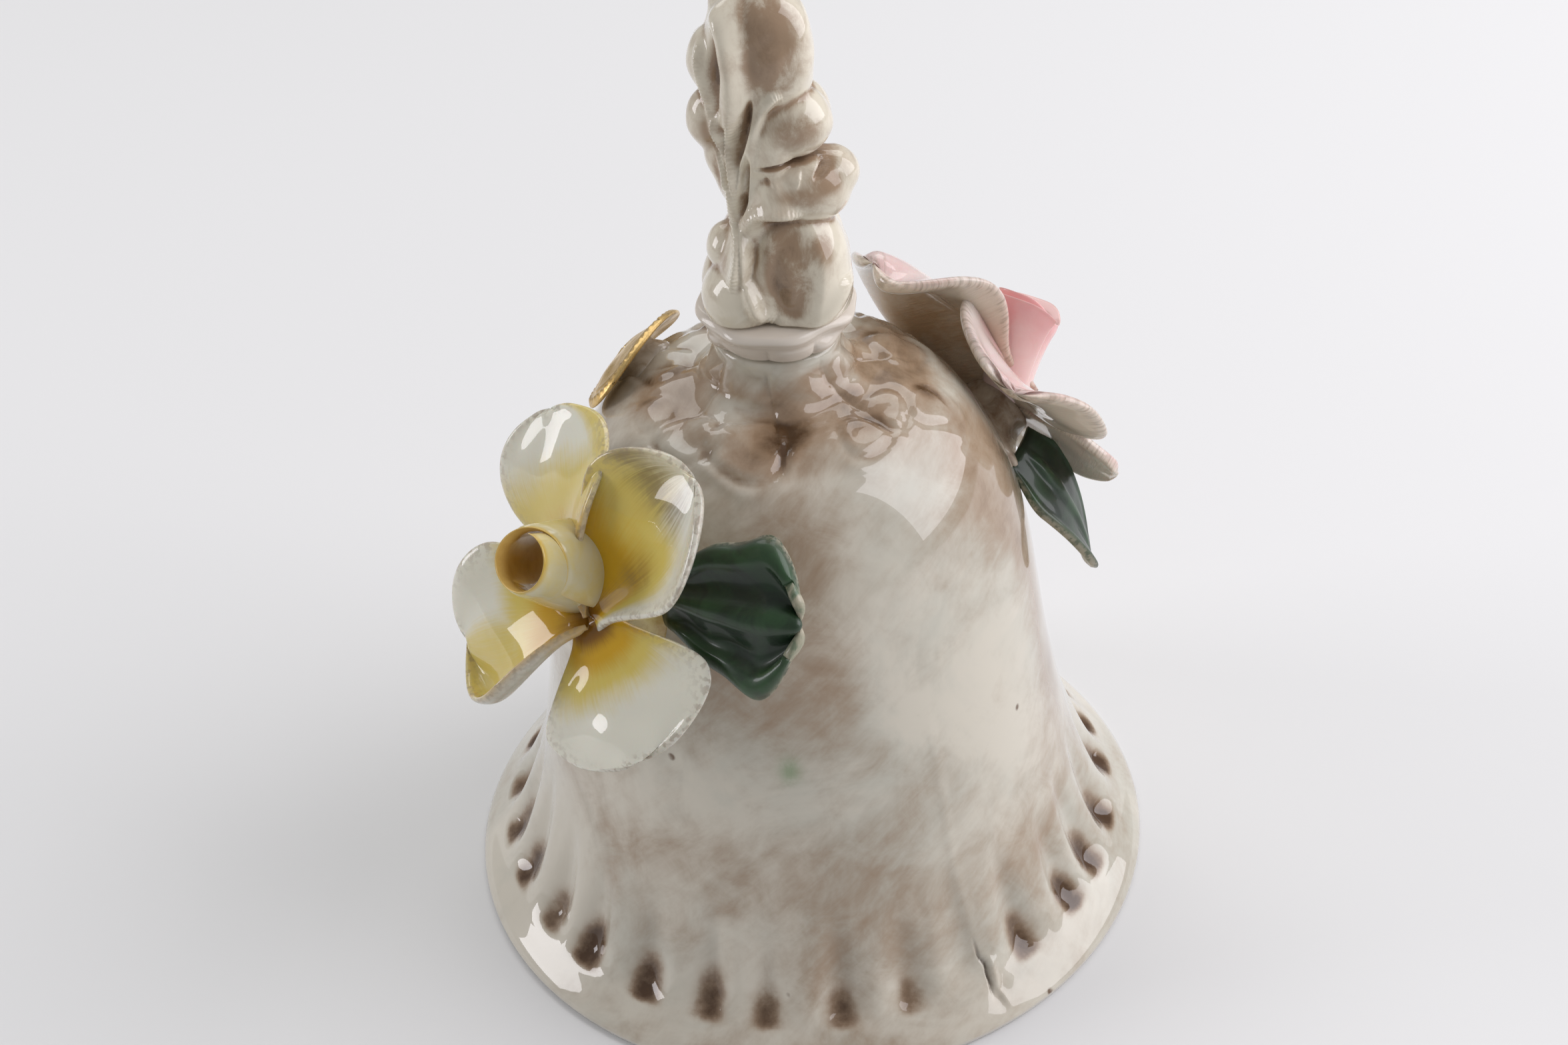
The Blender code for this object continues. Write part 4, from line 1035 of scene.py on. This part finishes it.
def clay_leaf(name, node, material, ribs, rib_height, **shape):
    """Pressed leaf: ribs run from the base and fan towards the edge."""
    points, s, t = sheet_grid(**shape)
    wave = np.cos(math.pi * ribs * t)
    sharp = bump((1.0 - wave) / 0.55)
    relief = rib_height * sharp * smoothstep(s / 0.2) * smoothstep((1.02 - s) / 0.25)
    vein = 0.05 * np.cos(30.0 * (s + 0.25 * np.abs(t))) * smoothstep((0.9 - np.abs(t)) / 0.3)
    margin = np.clip(bump((np.abs(t) - 1.0) / 0.05) + 0.6 * smoothstep((s - 0.982) / 0.018), 0.0, 1.0)
    fields = {"along": s, "across": t, "rib": sharp * smoothstep(s / 0.3), "margin": margin}
    leaf = thick_sheet(name, points, LEAF_THICK, fields, material, relief + vein * rib_height * 0.8)
    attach(leaf, "bell")
    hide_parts(node)


def leaves():
    """Two leaves behind each flower."""
    glaze = leaf_glaze()
    clay_leaf("frangipani_leaf_right", "yellow_leaf_right", glaze, 2.5, 0.45, centre=(-15.1, -24.2, 61.1),
              facing=(-15.0, 25.0), turn=0.5, long=19.2, half=8.9, slopes=(36.6, 8.8), cup=-14.2,
              tilts=(4.7, -5.6), base=0.45, widest=0.72, folds=(2.5, 0.85, 0.3), scallops=(2.6, 0.035),
              notches=(3.4, 0.5), seed=31)
    clay_leaf("frangipani_leaf_left", "yellow_leaf_left", glaze, 2.0, 0.5, centre=(-25.6, -14.5, 61.0),
              facing=(-66.0, 30.0), turn=118.0, long=13.0, half=5.0, slopes=(16.0, -6.0), cup=-12.0,
              tilts=(0.0, 0.0), base=0.5, widest=0.45, folds=(1.0, 0.4, 0.0), seed=32)
    clay_leaf("rose_leaf_front", "pink_leaf_front", glaze, 2.0, 0.5, centre=(29.1, 5.1, 56.7),
              facing=(80.0, 15.0), turn=-88.0, long=21.3, half=5.6, slopes=(27.5, -4.5), cup=-14.5,
              tilts=(29.6, -16.8), base=0.6, widest=0.35, folds=(1.0, -0.5, 0.0), seed=33)
    clay_leaf("rose_leaf_rear", "pink_leaf_rear", glaze, 2.0, 0.5, centre=(23.5, 21.0, 55.5),
              facing=(140.0, 20.0), turn=-84.0, long=17.0, half=6.0, slopes=(6.0, -8.0), cup=-14.0,
              tilts=(0.0, -4.0), base=0.55, widest=0.4, folds=(1.0, -0.5, 0.0), seed=34)


# ---------------------------------------------------------------- clay pats, plaque and clapper
# Plaque: place and half sizes in mm, facing in degrees, beads round its border.
PLAQUE_CENTRE = (-18.5, 9.8, 72.0)
PLAQUE_FACING = (-118.0, 40.0)
PLAQUE_HALF_LONG = 9.6
PLAQUE_HALF_TALL = 6.0
PLAQUE_HALF_THICK = 0.30
PLAQUE_BEADS = 44
# Clapper, in mm: the wire's eye and curl, and the bead's bore.
EYE_R = 2.2
CURL_R = 1.1
BORE_R = 0.8
WIRE_SIDES = 16
RING_STEPS = 96


def turned_piece(name, node, body, line, columns, material, centre=(0.0, 0.0, 0.0),
                 facing=None, lump=0.0, seed=1):
    """Turned closed piece in mm: a line of (radius, height) round an axis, a little lumpy.

    Without a facing the axis is upright; with one it is the direction that the facing names.
    """
    side, up, out = facing_frame(*facing) if facing else np.eye(3)
    line = np.asarray(line, float)
    turn = np.linspace(0.0, 2 * math.pi, columns, endpoint=False)[None, :]
    uneven = lump * ripple(turn, line[:, 1:] * 0.4, seed, waves=7, low=1, high=5)
    r = line[:, :1] + uneven * smoothstep(line[:, :1] / (0.5 * line[:, 0].max()))
    if facing:
        spread = r[..., None] * (np.cos(turn)[..., None] * side + np.sin(turn)[..., None] * up)
    else:
        spread = r[..., None] * (np.sin(turn)[..., None] * side - np.cos(turn)[..., None] * up)
    points = np.asarray(centre, float) + spread + line[:, 1][:, None, None] * out
    ends = np.asarray(centre, float) + np.array([line[0, 1] * out, line[-1, 1] * out])
    flat = np.vstack([points.reshape(-1, 3), ends]) * MM
    rows = len(line)
    faces = lathe_faces(rows, columns, rows * columns, rows * columns + 1)
    piece = put_mesh(name, flat, faces, {}, material)
    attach(piece, body)
    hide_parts(node)


def wire_piece(name, node, body, path, radius, material):
    """Round wire in mm along a path in the plane y = 0; its ends are rounded over."""
    path = np.asarray(path, float)
    path = smooth_line([(x, 0.0, z) for x, z in path[:, [0, 2]]], 6 * len(path))
    count, sides = len(path), WIRE_SIDES
    ahead = np.gradient(path, axis=0)
    run = np.concatenate([[0.0], np.cumsum(np.linalg.norm(np.diff(path, axis=0), axis=1))])
    end = np.minimum(run, run[-1] - run) / radius
    swell = np.sqrt(np.clip(1.0 - np.clip(1.0 - end, 0.0, 0.98) ** 2, 0.0, 1.0))
    ahead /= np.linalg.norm(ahead, axis=1)[:, None]
    first = np.cross(ahead, (0.0, 1.0, 0.0))
    angle = np.linspace(0.0, 2 * math.pi, sides, endpoint=False)[None, :, None]
    ring = np.cos(angle) * first[:, None, :] + np.sin(angle) * np.array([0.0, 1.0, 0.0])
    points = path[:, None, :] + (radius * swell)[:, None, None] * ring
    flat = np.vstack([points.reshape(-1, 3), path[:1], path[-1:]]) * MM
    faces = lathe_faces(count, sides, count * sides, count * sides + 1)
    piece = put_mesh(name, flat, faces, {}, material)
    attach(piece, body)
    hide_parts(node)


def clay_glaze(name, light, dark, grain=400.0, roughness=0.24):
    """Mottled glaze over a hand-pressed pat of clay."""
    paint = Paint(name, roughness=roughness, coat=1.0, coat_roughness=0.03)
    cloud = paint.noise(paint.place(), grain, 5.0, 0.6, 0.5)
    paint.colour(paint.mix(paint.ramp(cloud, 0.32, 0.68), light, dark))
    paint.bump(cloud, 0.2, 0.0004)
    return paint.material


def flower_pats():
    """Pats of clay that join the flowers and the plaque to the shoulder: flared, lumpy stubs."""
    stub = ((0.5, 0.3), (1.6, 0.25), (2.6, -0.1), (3.1, -1.0), (3.2, -2.2), (3.5, -3.6), (4.2, -5.0),
            (5.2, -6.4), (6.0, -7.6), (5.6, -8.6), (3.0, -9.4))
    gold = clay_glaze("yellow_pat_glaze", (0.56, 0.46, 0.20), (0.36, 0.24, 0.07))
    turned_piece("frangipani_clay_pat", "yellow_flower_base", "bell",
                 smooth_line(stub, 40), 60, gold, (-23.4, -25.4, 59.3), FRANGIPANI_FACING, 0.30, 41)
    rose = clay_glaze("pink_pat_glaze", (0.50, 0.42, 0.33), (0.26, 0.17, 0.11))
    low_stub = np.array(stub) * (1.42, 0.80)
    turned_piece("rose_clay_pat", "pink_flower_base", "bell",
                 smooth_line(low_stub, 40), 60, rose, (28.0, 13.5, 58.2), ROSE_FACING, 0.30, 42)
    pad = clay_glaze("plaque_pad_glaze", (0.60, 0.55, 0.47), (0.36, 0.28, 0.20))
    dab = ((0.4, 0.0), (2.0, -0.05), (2.9, -0.5), (3.2, -1.4), (3.9, -2.4), (4.2, -3.3), (2.5, -4.0))
    turned_piece("plaque_clay_dab", "plaque_pad", "bell", smooth_line(dab, 24), 48, pad,
                 PLAQUE_CENTRE, PLAQUE_FACING, 0.22, 43)


def gilt_plaque():
    """Small oval gilt plate, dished like the shoulder: an oval of rings with a beaded border.

    The front sinks inside the border and carries a low oval boss; the border's beads are a
    cosine round the rim.
    """
    side, up, out = facing_frame(*PLAQUE_FACING)
    columns = 240
    turn = np.linspace(0.0, 2 * math.pi, columns, endpoint=False)[None, :]
    share = np.concatenate([np.linspace(0.02, 0.80, 26), np.linspace(0.82, 1.0, 22)])[:, None]
    relief = (0.24 * bump((share - 0.925) / 0.045) * (0.75 + 0.25 * np.cos(PLAQUE_BEADS * turn))
              + 0.10 * bump((share - 0.80) / 0.02) + 0.20 * bump(share / 0.42)
              + 0.05 * np.cos(8 * turn) * bump((share - 0.50) / 0.14))
    edge = np.sqrt(np.clip(1.0 - np.clip((share - 0.955) / 0.045, 0.0, 0.999) ** 2, 0.0, 1.0))
    front = PLAQUE_HALF_THICK * edge + relief * smoothstep((1.0 - share) / 0.05)
    rear = -PLAQUE_HALF_THICK * edge + 0 * turn
    x, y = PLAQUE_HALF_LONG * share * np.cos(turn), PLAQUE_HALF_TALL * share * np.sin(turn)
    drop = x ** 2 / 50.0 + y ** 2 / 56.0 + 0.12 * ripple(turn, 2.0 * share, 44, waves=5)
    height = np.concatenate([front - drop, (rear - drop)[::-1]])
    x, y = np.concatenate([x, x[::-1]]), np.concatenate([y, y[::-1]])
    points = (np.asarray(PLAQUE_CENTRE) + x[..., None] * side + y[..., None] * up
              + height[..., None] * out)
    rows = len(points)
    ends = np.array([points[0].mean(axis=0), points[-1].mean(axis=0)])
    flat = np.vstack([points.reshape(-1, 3), ends]) * MM
    faces = lathe_faces(rows, columns, rows * columns, rows * columns + 1)
    paint = Paint("worn_gilding", roughness=0.44, metallic=0.92, coat=0.25, coat_roughness=0.12)
    cloud = paint.noise(paint.place(), 420.0, 5.0, 0.65, 0.6)
    rub = paint.noise(paint.place(), 1600.0, 3.0, 0.6)
    gilt = paint.mix(paint.ramp(cloud, 0.35, 0.62), (0.72, 0.50, 0.20), (0.54, 0.36, 0.13))
    gilt = paint.mix(paint.ramp(rub, 0.60, 0.74), gilt, (0.16, 0.09, 0.03))
    paint.colour(gilt)
    paint.set(paint.shader, "Roughness", paint.ramp(cloud, 0.3, 0.7, 0.26, 0.50))
    paint.bump(paint.weighted((cloud, 1.0), (rub, 0.4)), 0.25, 0.0003)
    plate = put_mesh("gilt_oval_plaque", flat, faces, {}, paint.material)
    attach(plate, "bell")
    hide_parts("gilt_plaque")


def metal(name, light, dark, roughness):
    """Drawn wire: fine lengthwise streaks and dull spots."""
    paint = Paint(name, roughness=roughness, metallic=1.0)
    spots = paint.noise(paint.place(), 900.0, 4.0, 0.6)
    drawn = paint.noise(paint.place((3000.0, 3000.0, 300.0)), 1.0, 2.0)
    paint.colour(paint.mix(paint.ramp(spots, 0.40, 0.68), light, dark))
    paint.set(paint.shader, "Roughness", paint.ramp(spots, 0.35, 0.65, roughness - 0.08, roughness + 0.18))
    paint.bump(drawn, 0.12, 0.0001)
    return paint.material


def clapper_and_hanger():
    """Plaster plug, wire staple, link ring, clapper wire with its eye and curl, and the bead."""
    low, high, radius = PLUG_LOW.z / MM, PLUG_HIGH.z / MM, PLUG_HIGH.x / MM
    plaster = Paint("rough_plaster", roughness=0.85)
    grain = plaster.noise(plaster.place(), 900.0, 6.0, 0.7)
    plaster.colour(plaster.mix(plaster.ramp(grain, 0.35, 0.7), (0.74, 0.71, 0.64), (0.60, 0.56, 0.49)))
    plaster.bump(grain, 0.6, 0.0006)
    line = ((0.3, high), (radius - 0.5, high), (radius, high - 0.5), (radius, low + 1.0),
            (radius - 0.4, low + 0.4), (radius - 1.4, low + 0.1), (1.2, low), (0.3, low))
    turned_piece("plaster_plug", "crown_plug", "bell", smooth_line(line, 60), 80,
                 plaster.material, lump=0.05, seed=45)
    steel = metal("clapper_steel", (0.52, 0.50, 0.47), (0.28, 0.25, 0.22), 0.34)
    brass = metal("ring_brass", (0.66, 0.50, 0.24), (0.40, 0.28, 0.12), 0.32)

    thick = STAPLE_HIGH.y / MM
    half = STAPLE_HIGH.x / MM - thick
    bottom, top = STAPLE_LOW.z / MM + thick, STAPLE_HIGH.z / MM
    arc = np.radians(np.linspace(180.0, 360.0, 13))
    bend = np.stack([half * np.cos(arc), 0 * arc, bottom + half + half * np.sin(arc)], axis=1)
    legs = [(-half, 0.0, top), (-half, 0.0, (top + bottom + half) / 2)]
    path = np.vstack([legs, bend, [(-x, y, z) for x, y, z in legs[::-1]]])
    wire_piece("wire_staple", "hanger_staple", "bell", path, thick, steel)

    thin = RING_HIGH.x / MM
    middle = (RING_LOW.z + RING_HIGH.z) / 2 / MM
    reach = (RING_HIGH.z - RING_LOW.z) / 2 / MM - thin
    ring = link_ring(reach, thin, middle, brass)
    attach(ring, "link")
    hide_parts("link_ring")

    thick = WIRE_HIGH.y / MM
    eye = WIRE_HIGH.z / MM - thick - EYE_R
    arc = np.radians(np.linspace(-42.0, 246.0, 19))
    path = [(EYE_R * math.cos(a), 0.0, eye + EYE_R * math.sin(a)) for a in arc]
    foot = WIRE_LOW.z / MM + thick + CURL_R
    neck = eye - EYE_R
    path += [(-0.4, 0.0, neck - 0.6), (0.0, 0.0, neck - 1.6), (0.0, 0.0, (eye + foot) * 0.6),
             (0.0, 0.0, (eye + foot) * 0.5), (0.0, 0.0, foot + 3.0)]
    arc = np.radians(np.linspace(180.0, 396.0, 13))
    path += [(CURL_R + CURL_R * math.cos(a), 0.0, foot + CURL_R * math.sin(a)) for a in arc]
    wire_piece("clapper_wire_with_eye", "clapper_wire", "clapper", path, thick, steel)

    radius = max((BEAD_HIGH.z - BEAD_LOW.z) / 2, BEAD_HIGH.x) / MM
    level = (BEAD_HIGH.z + BEAD_LOW.z) / 2 / MM
    mouth = math.asin(1.25 * BORE_R / radius)
    arc = np.linspace(mouth, math.pi - mouth, 44)
    outside = [(radius * math.sin(a), level + radius * math.cos(a)) for a in arc]
    lip = radius * math.cos(arc[0])
    hole = [(BORE_R, level - lip + 0.3), (BORE_R, level), (BORE_R, level + lip - 0.3)]
    bead_line = np.array(outside + hole)
    turn = np.linspace(0.0, 2 * math.pi, 88, endpoint=False)[None, :]
    r = bead_line[:, :1] + 0 * turn
    points = np.stack([r * np.sin(turn), -r * np.cos(turn), bead_line[:, 1:] + 0 * turn], axis=-1)
    faces = torus_faces(*r.shape)
    glaze = clay_glaze("bead_cream_glaze", (0.68, 0.64, 0.55), (0.52, 0.45, 0.35), 160.0, 0.15)
    bead = put_mesh("porcelain_bead", points.reshape(-1, 3) * MM, faces, {}, glaze)
    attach(bead, "bead")
    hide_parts("clapper_bead")


def link_ring(reach, thin, middle, material):
    """Torus standing in the plane x = 0: a circle of the wire's radius carried round a circle."""
    a = np.linspace(0.0, 2 * math.pi, RING_STEPS, endpoint=False)[:, None]
    b = np.linspace(0.0, 2 * math.pi, WIRE_SIDES, endpoint=False)[None, :]
    spread = reach + thin * np.cos(b)
    points = np.stack([thin * np.sin(b) + 0 * a, spread * np.cos(a), middle + spread * np.sin(a)], axis=-1)
    return put_mesh("brass_link_ring", points.reshape(-1, 3) * MM,
                    torus_faces(RING_STEPS, WIRE_SIDES), {}, material)


# ---------------------------------------------------------------- studio
VIEW_TILT = 37.515        # camera's height angle over the floor, degrees
VIEW_ROLL = -4.066        # degrees
VIEW_REACH = 7.886 * RIM_R
VIEW_AIM = Vector((-0.018 * RIM_R, 1.487 * RIM_R, 0.0))
ROOM_STRENGTH = 0.35
FLOOR_HALF = 12.0         # metres


def studio_camera():
    """Camera in front, looking down at a point on the floor behind the bell."""
    tilt = math.radians(VIEW_TILT)
    back = Vector((0.0, -math.cos(tilt), math.sin(tilt)))
    right = Matrix.Rotation(math.radians(VIEW_ROLL), 3, back) @ Vector((1.0, 0.0, 0.0))
    up = back.cross(right)
    lens = bpy.data.cameras.new("studio_camera")
    lens.lens = 50.0
    lens.sensor_width = 36.0
    camera = bpy.data.objects.new("studio_camera", lens)
    turn = Matrix((right, up, back)).transposed().to_4x4()
    camera.matrix_world = Matrix.Translation(VIEW_AIM + back * VIEW_REACH) @ turn
    bpy.context.scene.collection.objects.link(camera)
    bpy.context.scene.camera = camera


def softbox(name, azimuth, height, reach, width, tall, watts, colour):
    """Rectangular light at an azimuth and height angle round the bell, facing it."""
    a, h = math.radians(azimuth), math.radians(height)
    centre = Vector((0.0, 0.0, 0.05))
    away = Vector((math.sin(a) * math.cos(h), -math.cos(a) * math.cos(h), math.sin(h)))
    lamp = bpy.data.lights.new(name, 'AREA')
    lamp.shape = 'RECTANGLE'
    lamp.size = width
    lamp.size_y = tall
    lamp.energy = watts
    lamp.color = colour
    light = bpy.data.objects.new(name, lamp)
    turn = away.to_track_quat('Z', 'Y').to_matrix().to_4x4()
    light.matrix_world = Matrix.Translation(centre + away * reach) @ turn
    bpy.context.scene.collection.objects.link(light)


def studio_floor():
    """Plain pale floor."""
    half = FLOOR_HALF
    points = np.array([(-half, -half, 0.0), (half, -half, 0.0), (half, half, 0.0), (-half, half, 0.0)])
    paint = Paint("pale_floor", roughness=0.75)
    cloud = paint.noise(paint.place(), 3.0, 2.0)
    paint.colour(paint.mix(cloud, (0.77, 0.77, 0.765), (0.79, 0.79, 0.785)))
    floor = put_mesh("studio_floor", points, [np.array([[0, 1, 2, 3]])], {}, paint.material)


def studio_light():
    """A softbox on each side, a broad one behind overhead, and an even pale room."""
    world = bpy.data.worlds.new("pale_room")
    world.use_nodes = True
    room = world.node_tree.nodes["Background"]
    room.inputs["Color"].default_value = (0.98, 0.98, 1.0, 1.0)
    room.inputs["Strength"].default_value = ROOM_STRENGTH
    bpy.context.scene.world = world
    softbox("right_softbox", azimuth=88.0, height=31.0, reach=0.8, width=0.76, tall=0.76,
            watts=5.8, colour=(0.97, 0.95, 1.0))
    softbox("left_softbox", azimuth=-92.0, height=19.0, reach=0.8, width=0.28, tall=0.34,
            watts=1.8, colour=(0.98, 0.96, 1.0))
    softbox("back_softbox", azimuth=178.0, height=50.0, reach=1.2, width=1.3, tall=0.7,
            watts=5.6, colour=(1.0, 1.0, 1.0))


studio_camera()
studio_floor()
studio_light()
bpy.context.scene.view_settings.view_transform = 'Standard'

bell_body()
scroll_handle()
rolled_collar()
yellow_flower()
pink_flower()
leaves()
flower_pats()
gilt_plaque()
clapper_and_hanger()
